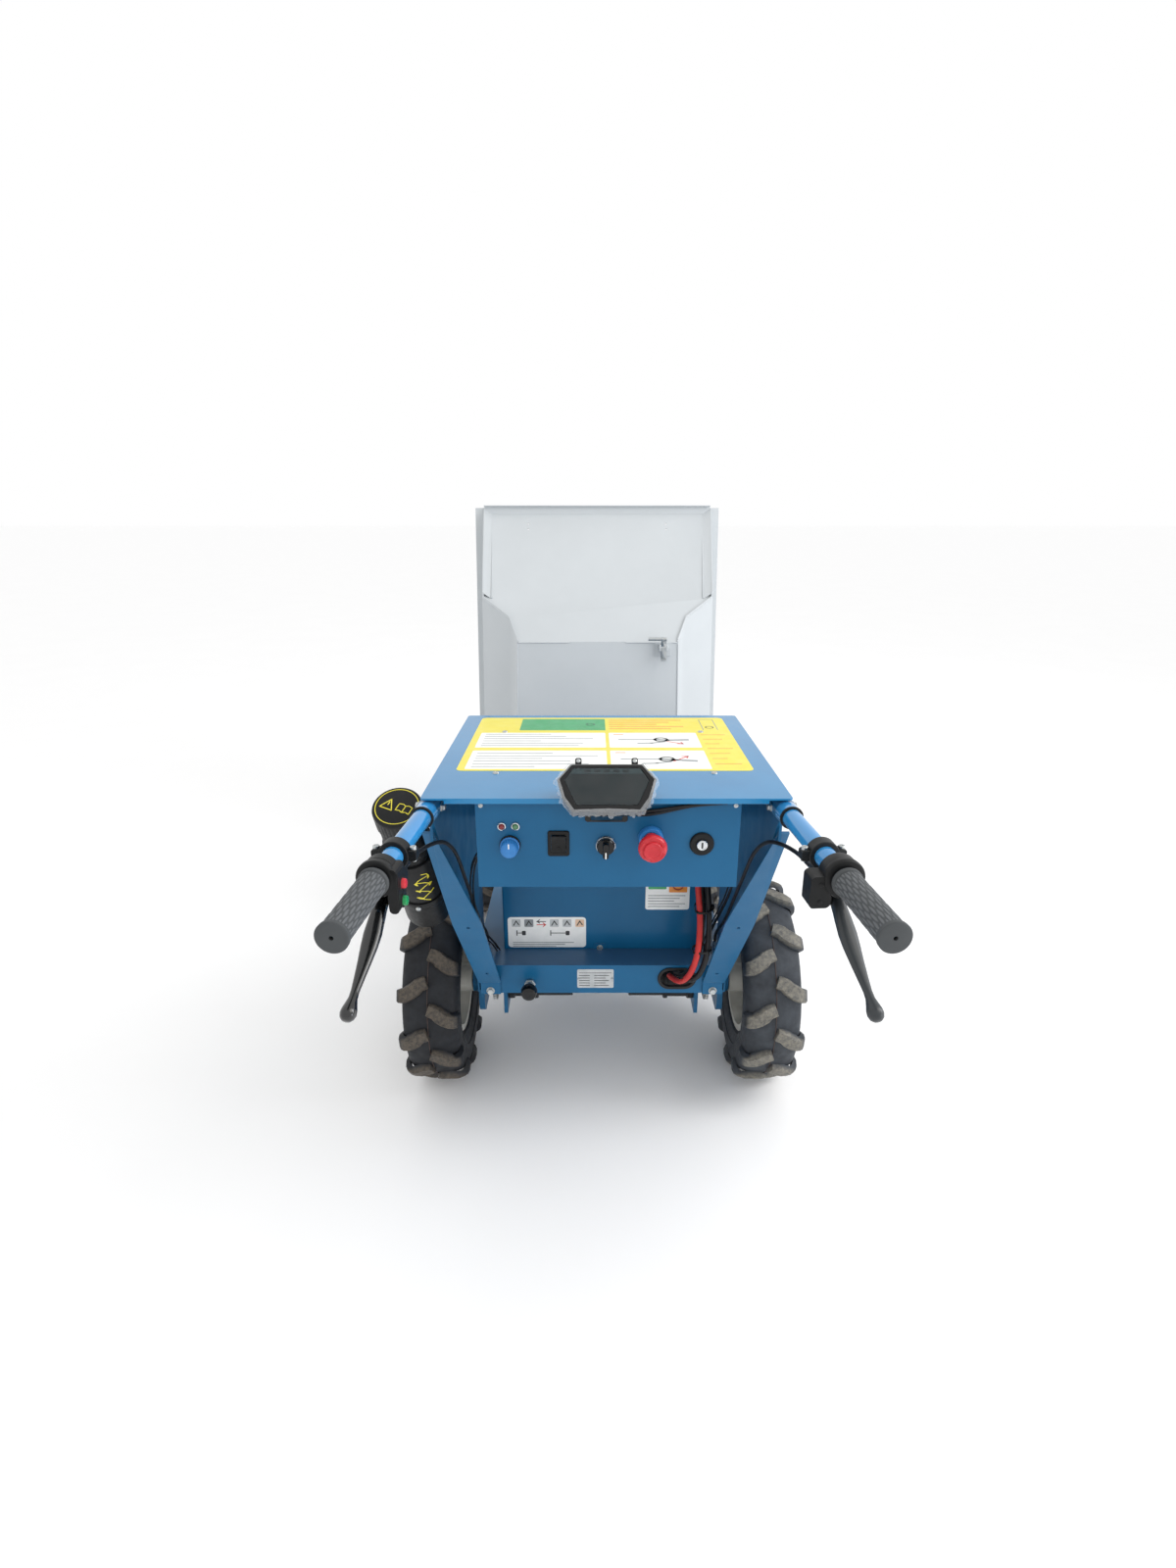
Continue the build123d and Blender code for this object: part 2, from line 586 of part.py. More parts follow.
def display_unit():
    outline = make_face(Polyline(*DISPLAY_OUTLINE, close=True))
    body = extrude(display_plane() * outline, amount=-DISPLAY_T)
    plane = display_plane()
    body = chamfer(body.faces().sort_by(Axis((0, 0, 0), plane.z_dir))[-1].edges(), 3)
    window = make_face(Polyline(*DISPLAY_WINDOW, close=True))
    body -= extrude(plane * window, amount=-WINDOW_DEPTH)
    for x in (-39, 39):
        body += extrude(plane * Pos(x, 39, -8) * RectangleRounded(9, 16, 3), amount=-6)
    return body


def display_lens():
    plane = display_plane()
    window = make_face(Polyline(*DISPLAY_WINDOW, close=True))
    floor = Plane(origin=plane.origin - plane.z_dir * WINDOW_DEPTH, x_dir=(1, 0, 0), z_dir=plane.z_dir)
    return extrude(floor * window, amount=WINDOW_DEPTH - 0.3)


def display_bracket():
    tilt = math.radians(DISPLAY_TILT)
    _, cy, cz = DISPLAY_CENTRE
    back_y = cy + DISPLAY_T * math.sin(tilt)
    back_z = cz - DISPLAY_T * math.cos(tilt)
    low = (back_y - 35 * math.cos(tilt), back_z - 35 * math.sin(tilt))
    high = (back_y - 22 * math.cos(tilt), back_z - 22 * math.sin(tilt))
    arm = across([(PANEL_FACE - 3, 750), (PANEL_FACE - 3, 759), high, low], -22, 22)
    foot = rounded((-30, 30), (PANEL_FACE - 3, PANEL_FACE), (748, 772), 4, Axis.Y)
    return foot + arm


# ---------------------------------------------------------------- panel controls


def panel_rod(centre, start, end, radius, hole=0.0):
    """Round piece on the panel; start and end are distances out of its face."""
    x, z = centre
    return rod((x, PANEL_FACE - start, z), (x, PANEL_FACE - end, z), radius, hole)


def panel_bezels():
    """Fixed rings, frame and contact blocks of the controls."""
    x, z = ROCKER
    frame = rounded((x - 15.5, x + 15.5), (PANEL_FACE - 2.5, PANEL_FACE), (z - 19.5, z + 19.5), 2, Axis.Y)
    frame -= block((x - 11, x + 11), (PANEL_FACE - 5, PANEL_FACE + 5), (z - 15, z + 15))
    pieces = [
        panel_rod(RED_LAMP, 0, 3, 6.4, 4), panel_rod(GREEN_LAMP, 0, 3, 6.4, 4),
        panel_rod(SPEED_KNOB, 0, 4, 15, 5), panel_rod(SELECTOR, 0, 5, 14.75, 9),
        panel_rod(ESTOP, 0, 12, 17.5, 11.3), panel_rod(KEY, 0, 5, 17.5, 8.3), frame,
    ]
    for cx, cz in (SPEED_KNOB, SELECTOR, ESTOP, KEY):
        pieces.append(rounded((cx - 15, cx + 15), (PANEL_FACE + 12, PANEL_FACE + 46), (cz - 15, cz + 15), 3, Axis.Y))
    pieces.append(block((x - 11, x + 11), (PANEL_FACE + 10, PANEL_FACE + 32), (z - 15, z + 15)))
    return pieces


def signal_lamps():
    lamps = []
    for centre in (RED_LAMP, GREEN_LAMP):
        x, z = centre
        lens = panel_rod(centre, -6, 3.5, 4)
        lens += Pos(x, PANEL_FACE - 3.5, z) * Sphere(4)
        lamps.append(lens)
    return lamps


def speed_knob():
    knob = panel_rod(SPEED_KNOB, 4 + REST_GAP, 7, 14)
    knob += panel_rod(SPEED_KNOB, 7, 21, 12.5)
    knob += panel_rod(SPEED_KNOB, -11, 5, 3)
    return knob


def rocker_switch():
    x, z = ROCKER
    return rounded((x - 10.5, x + 10.5), (PANEL_FACE - 6, PANEL_FACE + 6), (z - 13, z + 13), 2, Axis.X)


def selector_knob():
    x, z = SELECTOR
    knob = panel_rod(SELECTOR, 5 + REST_GAP, 11, 12.5)
    knob += rounded((x - 4.5, x + 4.5), (PANEL_FACE - 19, PANEL_FACE - 10), (z - 15, z + 9), 3, Axis.Y)
    return knob + panel_rod(SELECTOR, -11, 6, 8.7)


def estop_button():
    x, z = ESTOP
    stem = panel_rod(ESTOP, -4, 36, 11)
    head = panel_rod(ESTOP, 34, 47, 20)
    dome = fillet(head.edges().sort_by(Axis.Y)[0], 9)
    cap = panel_rod(ESTOP, 46, 52, 13)
    return stem + dome + cap


def key_barrel():
    x, z = KEY
    barrel = panel_rod(KEY, -11, 8, 8)
    return barrel - block((x - 1.2, x + 1.2), (PANEL_FACE - 9, PANEL_FACE - 5), (z - 5, z + 5))


def gear_knob():
    x, z = GEAR_KNOB
    shaft = rod((x, REAR_FACE + 30, z), (x, REAR_FACE - 22, z), 4)
    head = rod((x, REAR_FACE - 20, z), (x, REAR_FACE - 43, z), GEAR_KNOB_R)
    head = fillet(head.edges().sort_by(Axis.Y)[0], 9)
    return shaft + head


def gear_bushing():
    x, z = GEAR_KNOB
    nut = Plane(origin=(x, REAR_FACE, z), z_dir=(0, -1, 0)) * RegularPolygon(11, 6)
    body = extrude(nut, amount=7)
    body += rod((x, REAR_FACE - 12, z), (x, REAR_FACE + 22, z), 8)
    return body - rod((x, REAR_FACE - 20, z), (x, REAR_FACE + 40, z), 4 + RUNNING_GAP)


# ---------------------------------------------------------------- canister


def canister_plane():
    tilt = math.radians(CANISTER_TILT)
    return Plane(origin=CANISTER_TOP, x_dir=(1, 0, 0), z_dir=(0, -math.sin(tilt), math.cos(tilt)))


def canister_rod(start, end, radius):
    """Round piece on the canister's axis, by distances below the cap's top."""
    plane = canister_plane()
    origin = plane.origin - plane.z_dir * start
    return extrude(Plane(origin=origin, x_dir=(1, 0, 0), z_dir=plane.z_dir) * Circle(radius), amount=start - end)


def canister():
    top = CANISTER_WALL + CAP_GAP
    body = canister_rod(top, CANISTER_SHOULDER, CANISTER_R)
    body += canister_rod(CANISTER_SHOULDER, CANISTER_LENGTH, CANISTER_BODY_R)
    body -= canister_rod(top, CANISTER_LENGTH - CANISTER_WALL, CANISTER_R - CANISTER_WALL)
    return body - canister_rod(
        CANISTER_SHOULDER + CANISTER_WALL, CANISTER_LENGTH - CANISTER_WALL, CANISTER_BODY_R - CANISTER_WALL
    )


def canister_cap():
    cap = canister_rod(0, CAP_DEPTH, CAP_R)
    cap = chamfer(cap.faces().sort_by(Axis.Z)[-1].edges(), 2)
    return cap - canister_rod(CANISTER_WALL, CAP_DEPTH, CANISTER_R + CAP_GAP)


def canister_clips():
    """Straps round the canister with feet on the console's left side plate."""
    clips = []
    for at, radius in ((90.0, CANISTER_R), (225.0, CANISTER_BODY_R)):
        plane = canister_plane()
        origin = plane.origin - plane.z_dir * (at - 9)
        ring = canister_rod(at - 9, at + 9, radius + 3) - canister_rod(at - 20, at + 20, radius)
        frame = Plane(origin=origin, x_dir=(1, 0, 0), z_dir=plane.z_dir)
        reach = -CONSOLE_HALF - CANISTER_TOP[0]
        foot = extrude(frame * Pos(reach / 2 + 10, 0, 0) * Rectangle(reach - 20, 22), amount=-18)
        foot -= canister_rod(at - 20, at + 20, radius)
        clips.append(ring + foot)
    return clips


# ---------------------------------------------------------------- skip


def tipped(x, y, n):
    """A point of the skip: y from the floor's rear edge to the front, n up from the floor's underside."""
    return Vector(x, SKIP_FLOOR_Y + n, SKIP_REAR_Z - y)


def skip_prism(outline):
    """Prism across the whole skip over an outline of (y, n) points."""
    points = [tipped(0, y, n) for y, n in outline]
    return across([(p.Y, p.Z) for p in points], -500, 500)


def skewed(section):
    """Right-hand section of (x, n) points, carried along the skip with its flare."""
    start, end = SKIP_REAR_RISE - 60, SKIP_FRONT_RISE + 40
    wire = Wire.make_polygon([tipped(x + SKIP_FLARE * start, start, n) for x, n in section], close=True)
    way = tipped(SKIP_FLARE * end, end, 0) - tipped(SKIP_FLARE * start, start, 0)
    body = Solid.extrude(Face(wire), way)
    return body


def inset(points, amount):
    """Open outline moved inwards by a thickness, with mitred corners."""
    moved = []
    for i, (x, n) in enumerate(points):
        ways = []
        if i > 0:
            ways.append((points[i][0] - points[i - 1][0], points[i][1] - points[i - 1][1]))
        if i < len(points) - 1:
            ways.append((points[i + 1][0] - points[i][0], points[i + 1][1] - points[i][1]))
        normals = [(-dn / math.hypot(dx, dn), dx / math.hypot(dx, dn)) for dx, dn in ways]
        nx = sum(v[0] for v in normals) / len(normals)
        nn = sum(v[1] for v in normals) / len(normals)
        scale = amount / (nx * nx + nn * nn)
        moved.append((x + nx * scale, n + nn * scale))
    return moved


def skip_side():
    """Right-hand side plate: three bends, the rim turned outwards, cut to the skip's outline."""
    profile = [(x, n) for n, x in SKIP_LEVELS]
    top_n, top_x = SKIP_LEVELS[-1]
    profile.append((top_x + SKIP_RIM, top_n))
    section = profile + inset(profile, SKIP_SHEET)[::-1]
    step = SKIP_LEVELS[2][0]
    rise = SKIP_REAR_RISE / top_n
    outline = [
        (-8, 0), (rise * step - 8, step), (rise * step - SKIP_EDGE, step), (SKIP_REAR_RISE - SKIP_EDGE, top_n + 5),
        (SKIP_FRONT_RISE, top_n + 5), (SKIP_FLOOR_LENGTH, 0), (SKIP_FLOOR_LENGTH, -5), (-8, -5),
    ]
    return skewed(section) & skip_prism(outline)


def skip_envelope():
    """Everything between the outer faces of the two sides."""
    profile = [(x, n) for n, x in SKIP_LEVELS]
    right = skewed([(-600, -10), (profile[0][0], -10)] + profile + [(profile[-1][0], 345), (-600, 345)])
    return right & mirrored(right)


def skip():
    """The five plates of the skip with the lugs of its pivot, each cut clear of the ones before."""
    envelope = skip_envelope()
    top_n = SKIP_LEVELS[-1][0]
    slab = skip_prism([(0, 0), (SKIP_FLOOR_LENGTH, 0), (SKIP_FLOOR_LENGTH, SKIP_SHEET), (0, SKIP_SHEET)])
    floor = slab & envelope
    right = skip_side() - floor
    left = mirrored(right)

    wall_line = [(0, 0), (SKIP_REAR_RISE, top_n)]
    inner = inset(wall_line, -SKIP_SHEET)
    rear = skip_prism(wall_line + inner[::-1]) & envelope
    rear = rear - floor - right - left
    rim = skip_prism([
        (SKIP_REAR_RISE - SKIP_RIM, top_n - SKIP_SHEET), (SKIP_REAR_RISE + 2, top_n - SKIP_SHEET),
        (SKIP_REAR_RISE + 2, top_n), (SKIP_REAR_RISE - SKIP_RIM, top_n),
    ])
    half = SKIP_LEVELS[-1][1] + SKIP_FLARE * SKIP_REAR_RISE
    rim &= block((-half + 4, half - 4), (0, 2000), (0, 2000))
    rim += skip_prism([
        (SKIP_REAR_RISE - SKIP_RIM, top_n - 14), (SKIP_REAR_RISE - SKIP_RIM + 2.5, top_n - 14),
        (SKIP_REAR_RISE - SKIP_RIM + 2.5, top_n), (SKIP_REAR_RISE - SKIP_RIM, top_n),
    ]) & block((-half + 4, half - 4), (0, 2000), (0, 2000))
    rear = rear + (rim - right - left)
    for centre, normal in rim_holes():
        rear -= rod(centre - normal * 10, centre + normal * 10, RIM_HOLE_R)
    rear += corner_strips(right, left)
    front_line = [(SKIP_FLOOR_LENGTH, 0), (SKIP_FRONT_RISE, top_n)]
    front_inner = inset(front_line, SKIP_SHEET)
    front = skip_prism(front_line + front_inner[::-1]) & envelope
    front = front - floor - right - left
    lip = skip_prism([
        (SKIP_FRONT_RISE - 2, top_n - SKIP_SHEET), (SKIP_FRONT_RISE + SKIP_RIM, top_n - SKIP_SHEET),
        (SKIP_FRONT_RISE + SKIP_RIM, top_n), (SKIP_FRONT_RISE - 2, top_n),
    ]) & block((-half - 20, half + 20), (0, 2000), (0, 2000))
    front = front + (lip - right - left)
    return {
        "skip_floor": floor + skip_lug() + mirrored(skip_lug()),
        "skip_side_left": left,
        "skip_side_right": right,
        "skip_rear_wall": rear,
        "skip_front_wall": front,
    }


def rim_holes():
    """Centres and normals of the two pairs of small holes near the top of the rear wall."""
    top_n = SKIP_LEVELS[-1][0]
    foot, head = tipped(0, 0, 0), tipped(0, SKIP_REAR_RISE, top_n)
    down = (foot - head).normalized()
    normal = Vector(0, down.Z, -down.Y)
    holes = []
    for sign in (-1, 1):
        for k in (0, 1):
            at = head + down * (RIM_HOLE_DROP + RIM_HOLE_PITCH * k)
            holes.append((Vector(sign * RIM_HOLE_X, at.Y, at.Z), normal))
    return holes


def corner_strips(right, left):
    """Slanting strips that close the rear wall to the side plates' edges above the step."""
    top_n = SKIP_LEVELS[-1][0]
    step_n, step_x = SKIP_LEVELS[2]
    rise = SKIP_REAR_RISE / top_n
    span = 26.0
    strips = []
    low_y, high_y = rise * step_n, SKIP_REAR_RISE
    low_x = step_x + SKIP_FLARE * low_y - SKIP_SHEET
    high_x = SKIP_LEVELS[-1][1] + SKIP_FLARE * high_y - SKIP_SHEET
    corners = [
        tipped(low_x - span, low_y, step_n), tipped(low_x, low_y - SKIP_EDGE + 2, step_n),
        tipped(high_x, high_y - SKIP_EDGE + 2, top_n), tipped(high_x - span, high_y, top_n),
    ]
    # two flat triangles that share an edge follow the slight twist
    for a, b, c in ((0, 1, 2), (0, 2, 3)):
        face = Face(Wire.make_polygon([corners[a], corners[b], corners[c]], close=True))
        strips.append(Solid.extrude(face, Vector(0, 1.8, -1.8)))
    strip = strips[0] + strips[1]
    return (strip - right) + mirrored(strip - right)


def skip_lug():
    """Right-hand lug under the floor, bored to turn on the pivot shaft."""
    x = (200, 210)
    lug = across([
        (SKIP_FLOOR_Y, PIVOT_Z - 30), (SKIP_FLOOR_Y, PIVOT_Z + 30), (PIVOT_Y, PIVOT_Z + LUG_R),
        (PIVOT_Y, PIVOT_Z - LUG_R),
    ], *x)
    lug += rod((x[0], PIVOT_Y, PIVOT_Z), (x[1], PIVOT_Y, PIVOT_Z), LUG_R)
    return lug - rod((x[0] - 5, PIVOT_Y, PIVOT_Z), (x[1] + 5, PIVOT_Y, PIVOT_Z), PIVOT_SHAFT_R + RUNNING_GAP)


def latch_bracket():
    y, z = LATCH_PIN
    plate = block((LATCH_X - 24, LATCH_X + 24), (SKIP_FLOOR_Y - SHEET, SKIP_FLOOR_Y), (z - 28, z + 12))
    for x in ((LATCH_X - 12, LATCH_X - 8), (LATCH_X + 8, LATCH_X + 12)):
        plate += rounded(x, (y - 9, SKIP_FLOOR_Y - SHEET + TIGHT), (z - 10, z + 10), 4, Axis.X)
    return plate + rod((LATCH_X - 15, y, z), (LATCH_X + 15, y, z), LATCH_PIN_R)


def latch_lever():
    """Hook and hand lever on the latch's pin."""
    y, z = LATCH_PIN
    x = (LATCH_X - 7.5, LATCH_X + 7.5)
    lever = rod((x[0], y, z), (x[1], y, z), 8)
    lever += across([(y - 6, z), (y + 4, z), (y - 2, z + 26), (y - 12, z + 26)], *x)
    lever += rod((LATCH_X - 46, y - 7, z + 26), (LATCH_X + 8, y - 7, z + 26), 5)
    lever += across([(y - 8, z), (y + 4, z), (y - 2, z - 38), (y - 16, z - 38), (y - 16, z - 32), (y - 8, z - 30)], *x)
    return lever - rod((LATCH_X - 30, y, z), (LATCH_X + 30, y, z), LATCH_PIN_R + RUNNING_GAP)


# ---------------------------------------------------------------- cables


def cable(points, diameter):
    """Round cable along straight runs joined by arcs as large as the runs allow."""
    route = [Vector(*p) for p in points]
    radii = []
    for a, b, c in zip(route, route[1:], route[2:]):
        run_in, run_out = b - a, c - b
        turn = math.radians(run_in.get_angle(run_out))
        radii.append(0.45 * min(run_in.length, run_out.length) / math.tan(turn / 2))
    path = FilletPolyline(*route, radius=radii)
    section = Plane(origin=path @ 0, z_dir=path % 0) * Circle(diameter / 2)
    print("cable radii", [round(r, 1) for r in radii], "length", round(path.length, 1))
    return sweep(section, path=path)


RED_ROUTE = (
    (172, -150, 560), (176, -172, 500), (180, -190, 445), (176, -205, 390), (166, -200, 345), (154, -175, 310),
    (142, -149, 296), (134, -122, 290),
)
BLACK_ROUTE_A = (
    (192, -146, 560), (194, -168, 500), (197, -186, 445), (195, -198, 390), (186, -196, 345), (174, -172, 312),
    (166, -149, 298), (161, -122, 292),
)
BLACK_ROUTE_B = (
    (182, -128, 560), (186, -150, 500), (188, -168, 445), (184, -182, 390), (174, -176, 345), (162, -158, 316),
    (151, -142, 303), (147.5, -122, 296),
)
BRAKE_ROUTE = (
    (262.4, -575.1, 730), (259.8, -542, 729.5), (255, -498, 727), (244, -450, 719), (235, -405, 702),
    (230, -352, 660), (228, -300, 590), (228, -248, 530), (229, -195, 470), (230, -140, 415), (230, -90, 373),
    (230, -68, 347), (230, -68, 321),
)


def brake_cables():
    left = cable([(-x, y, z) for x, y, z in BRAKE_ROUTE], 6)
    return [cable(BRAKE_ROUTE, 6), left]


# ---------------------------------------------------------------- fasteners


def screw(point, way, head_r, head_h):
    """Screw or bolt head standing on a face."""
    a = Vector(*point)
    b = a + Vector(*way) * head_h
    return rod(a, b, head_r)


def fasteners():
    heads = []
    for x, y in ((-175, -109), (175, -109), (-165, -341), (165, -341)):
        heads.append(screw((x, y, COVER_TOP), (0, 0, 1), 5, 2.6))
    for x in (-176, 181):
        heads.append(screw((x, PANEL_FACE, 772), (0, -1, 0), 3.5, 2.4))
    for x in (-18.5, 18.5):
        heads.append(screw((x, PANEL_FACE - SHEET, 765), (0, -1, 0), 3.5, 2.4))
    for sign in (-1, 1):
        heads.append(screw((sign * 219, REAR_FACE - 4, 266), (0, -1, 0), 7.5, 7))
        heads.append(screw((sign * 254, BRACE_TOP[0] + 16, 732), (sign, 0, 0), 6, 5))
    heads.append(screw((-3, BOX_REAR, 334), (0, -1, 0), 6, 5))
    return heads


def socket_bolts():
    bolts = []
    for side in (-1, 1):
        through = rod((-20, 22, 0), (20, 22, 0), 4)
        head = rod((-side * 24, 22, 0), (-side * SOCKET_R, 22, 0), 6.5)
        nut = rod((side * SOCKET_R, 22, 0), (side * 22, 22, 0), 6.5)
        bolts.append(on_handle(through + head + nut, side))
    return bolts


# ---------------------------------------------------------------- whole machine


def build():
    parts = dict(running_gear())
    parts["gearmotors"] = solid_group(gearmotor(), mirrored(gearmotor()))
    parts["drive_chains"] = solid_group(drive_chain(), mirrored(drive_chain()))
    parts["frame_rail_right"] = rail()
    parts["frame_rail_left"] = mirrored(rail())
    parts["deck_plate"] = deck_plate()
    parts["rear_plate"] = rear_plate()
    parts["pivot_shaft"] = pivot_shaft()
    parts["rubber_parts"] = solid_group(*rubber_stops(), cable_grommet())
    parts["console_side_right"] = console_side()
    parts["console_side_left"] = mirrored(console_side())
    parts["console_front"] = console_front()
    parts["top_cover"] = top_cover()
    parts["control_panel"] = control_panel()
    parts["battery_box"] = battery_box()
    parts["battery_pack"] = solid_group(*battery_pack())
    parts["motor_controller"] = motor_controller()
    parts["brace_right"] = brace()
    parts["brace_left"] = mirrored(brace())

    bolts = socket_bolts()
    for name, side in (("left", -1), ("right", 1)):
        bolt = bolts[0] if side < 0 else bolts[1]
        parts[f"handle_tube_{name}"] = on_handle(handle_tube(), side) - bolt
    sockets = [on_handle(socket(), s) - b for s, b in zip((-1, 1), bolts)]
    ears = [pivot_bracket(), mirrored(pivot_bracket())]
    parts["frame_brackets"] = solid_group(*hangers(), front_beam(), *ears, *sockets)
    parts["grip_left"] = on_handle(grip(), -1)
    parts["throttle_grip"] = on_handle(throttle_sleeve(), 1)
    parts["switch_pod"] = on_handle(switch_pod(), -1)
    parts["red_button"] = on_handle(pod_button(-10), -1)
    parts["green_button"] = on_handle(pod_button(-32), -1)
    parts["throttle_housing"] = on_handle(throttle_housing(), 1)
    perch_left, lever_left = brake_perch(), brake_lever()
    parts["brake_perches"] = solid_group(on_handle(perch_left, -1), on_handle(mirrored(perch_left), 1))
    parts["brake_lever_left"] = on_handle(lever_left, -1)
    parts["brake_lever_right"] = on_handle(mirrored(lever_left), 1)
    parts["park_lock"] = on_handle(mirrored(park_lock()), 1)

    parts["display_unit"] = solid_group(display_unit(), display_bracket())
    parts["display_lens"] = display_lens()
    parts["panel_bezels"] = solid_group(*panel_bezels(), *signal_lamps(), *panel_mounts(), gear_bushing())
    parts["speed_knob"] = speed_knob()
    parts["rocker_switch"] = rocker_switch()
    parts["selector_knob"] = selector_knob()
    parts["estop_button"] = estop_button()
    parts["key_barrel"] = key_barrel()
    parts["gear_knob"] = gear_knob()
    parts["canister"] = canister()
    parts["canister_cap"] = canister_cap()

    parts.update(skip())
    parts["skip_floor"] = solid_group(parts["skip_floor"], latch_bracket())
    parts["latch_lever"] = latch_lever()

    parts["red_cable"] = cable(RED_ROUTE, 11)
    parts["black_cables"] = solid_group(cable(BLACK_ROUTE_A, 11), cable(BLACK_ROUTE_B, 11), *brake_cables())
    parts["fasteners"] = solid_group(*fasteners(), *bolts, *canister_clips())
    return parts


def main():
    os.makedirs("parts", exist_ok=True)
    parts = build()
    whole = Compound(children=[s for p in parts.values() for s in p.solids()]).bounding_box()
    shift = Pos(-(whole.min.X + whole.max.X) / 2, -(whole.min.Y + whole.max.Y) / 2, -whole.min.Z)
    print("rear axle to origin", shift.position)
    for name, shape in parts.items():
        export_step(Compound(children=(shift * shape).solids()), f"parts/{name}.step")
    print(len(parts), "nodes", whole)


if __name__ == "__main__":
    main()
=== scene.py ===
"""Looks of a power wheelbarrow with its skip tipped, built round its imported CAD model.

Sizes are in millimetres about the rear axle unless a comment says otherwise, and Site turns them into the
frame's metres. Each sub-assembly is a class that builds its meshes and dresses them.
"""

import json
import logging
from collections.abc import Iterable, Sequence
from dataclasses import dataclass
from enum import Enum
from math import copysign, cos, hypot, pi, radians, sin
from typing import ClassVar

import bmesh
import bpy
from mathutils import Matrix, Vector, noise

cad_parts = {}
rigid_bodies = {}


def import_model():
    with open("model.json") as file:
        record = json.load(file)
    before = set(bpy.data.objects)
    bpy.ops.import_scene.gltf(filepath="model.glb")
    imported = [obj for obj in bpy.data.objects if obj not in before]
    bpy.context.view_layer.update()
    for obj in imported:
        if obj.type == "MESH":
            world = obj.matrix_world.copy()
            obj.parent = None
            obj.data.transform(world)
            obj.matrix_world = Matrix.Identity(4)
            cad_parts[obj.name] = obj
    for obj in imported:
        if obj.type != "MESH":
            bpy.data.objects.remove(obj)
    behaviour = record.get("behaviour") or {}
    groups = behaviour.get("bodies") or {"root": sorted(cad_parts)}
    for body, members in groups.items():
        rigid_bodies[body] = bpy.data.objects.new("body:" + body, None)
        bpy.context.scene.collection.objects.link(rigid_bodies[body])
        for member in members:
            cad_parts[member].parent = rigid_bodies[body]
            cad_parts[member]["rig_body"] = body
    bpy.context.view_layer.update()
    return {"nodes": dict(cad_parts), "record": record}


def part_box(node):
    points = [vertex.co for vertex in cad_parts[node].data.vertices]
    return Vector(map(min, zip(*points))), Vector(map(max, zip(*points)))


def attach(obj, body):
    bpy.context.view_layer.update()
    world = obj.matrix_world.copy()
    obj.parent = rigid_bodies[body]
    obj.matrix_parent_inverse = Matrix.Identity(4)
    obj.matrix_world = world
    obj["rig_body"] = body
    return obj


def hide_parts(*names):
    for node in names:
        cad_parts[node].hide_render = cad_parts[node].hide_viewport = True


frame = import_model()
LOG = logging.getLogger("wheelbarrow")
MM = 0.001
Outline = Sequence[tuple[float, float]]
SHARP = radians(32)
MIX_A, MIX_B, MIX_OUT = 6, 7, 2      # the Mix node's colour sockets
WHEELBASE = 720.0
AXLE_Z = 207.5
COVER_TOP = 786.0
PANEL_FACE = -441.0                  # faces that look back at the operator
REAR_FACE = -135.0
BOX_FACE = -73.0
GEAR_KNOB = (-141, REAR_FACE, 281)


class Side(Enum):
    """Left or right of the machine, as the operator sees it."""

    LEFT = -1
    RIGHT = 1


class Site:
    """Turns millimetres about the rear axle into metres of the frame."""

    low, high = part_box("tyre_rear_left")
    shift = (low.y + high.y) / 2

    @classmethod
    def at(cls, point: Sequence[float]) -> Vector:
        """Returns the place in metres."""
        return Vector((point[0] * MM, point[1] * MM + cls.shift, point[2] * MM))


# ---- finishes


def linear(colour: str) -> tuple[float, float, float, float]:
    """Turns an sRGB hex colour into linear RGBA."""
    parts = (int(colour[i:i + 2], 16) / 255 for i in (1, 3, 5))
    return (*(c / 12.92 if c <= 0.04045 else ((c + 0.055) / 1.055) ** 2.4 for c in parts), 1.0)


def add_node(tree: bpy.types.NodeTree, kind: str, inputs: dict | None = None, **settings) -> bpy.types.Node:
    """Adds a node with its settings.

    Args:
        tree: node tree that gets the node.
        kind: the node's type.
        inputs: value or linked output for each input, by name or number.
        settings: the node's own properties.

    Returns:
        The node.
    """
    made = tree.nodes.new(kind)
    for name, value in settings.items():
        setattr(made, name, value)
    for socket, value in (inputs or {}).items():
        if isinstance(value, bpy.types.NodeSocket):
            tree.links.new(value, made.inputs[socket])
        else:
            made.inputs[socket].default_value = value
    return made


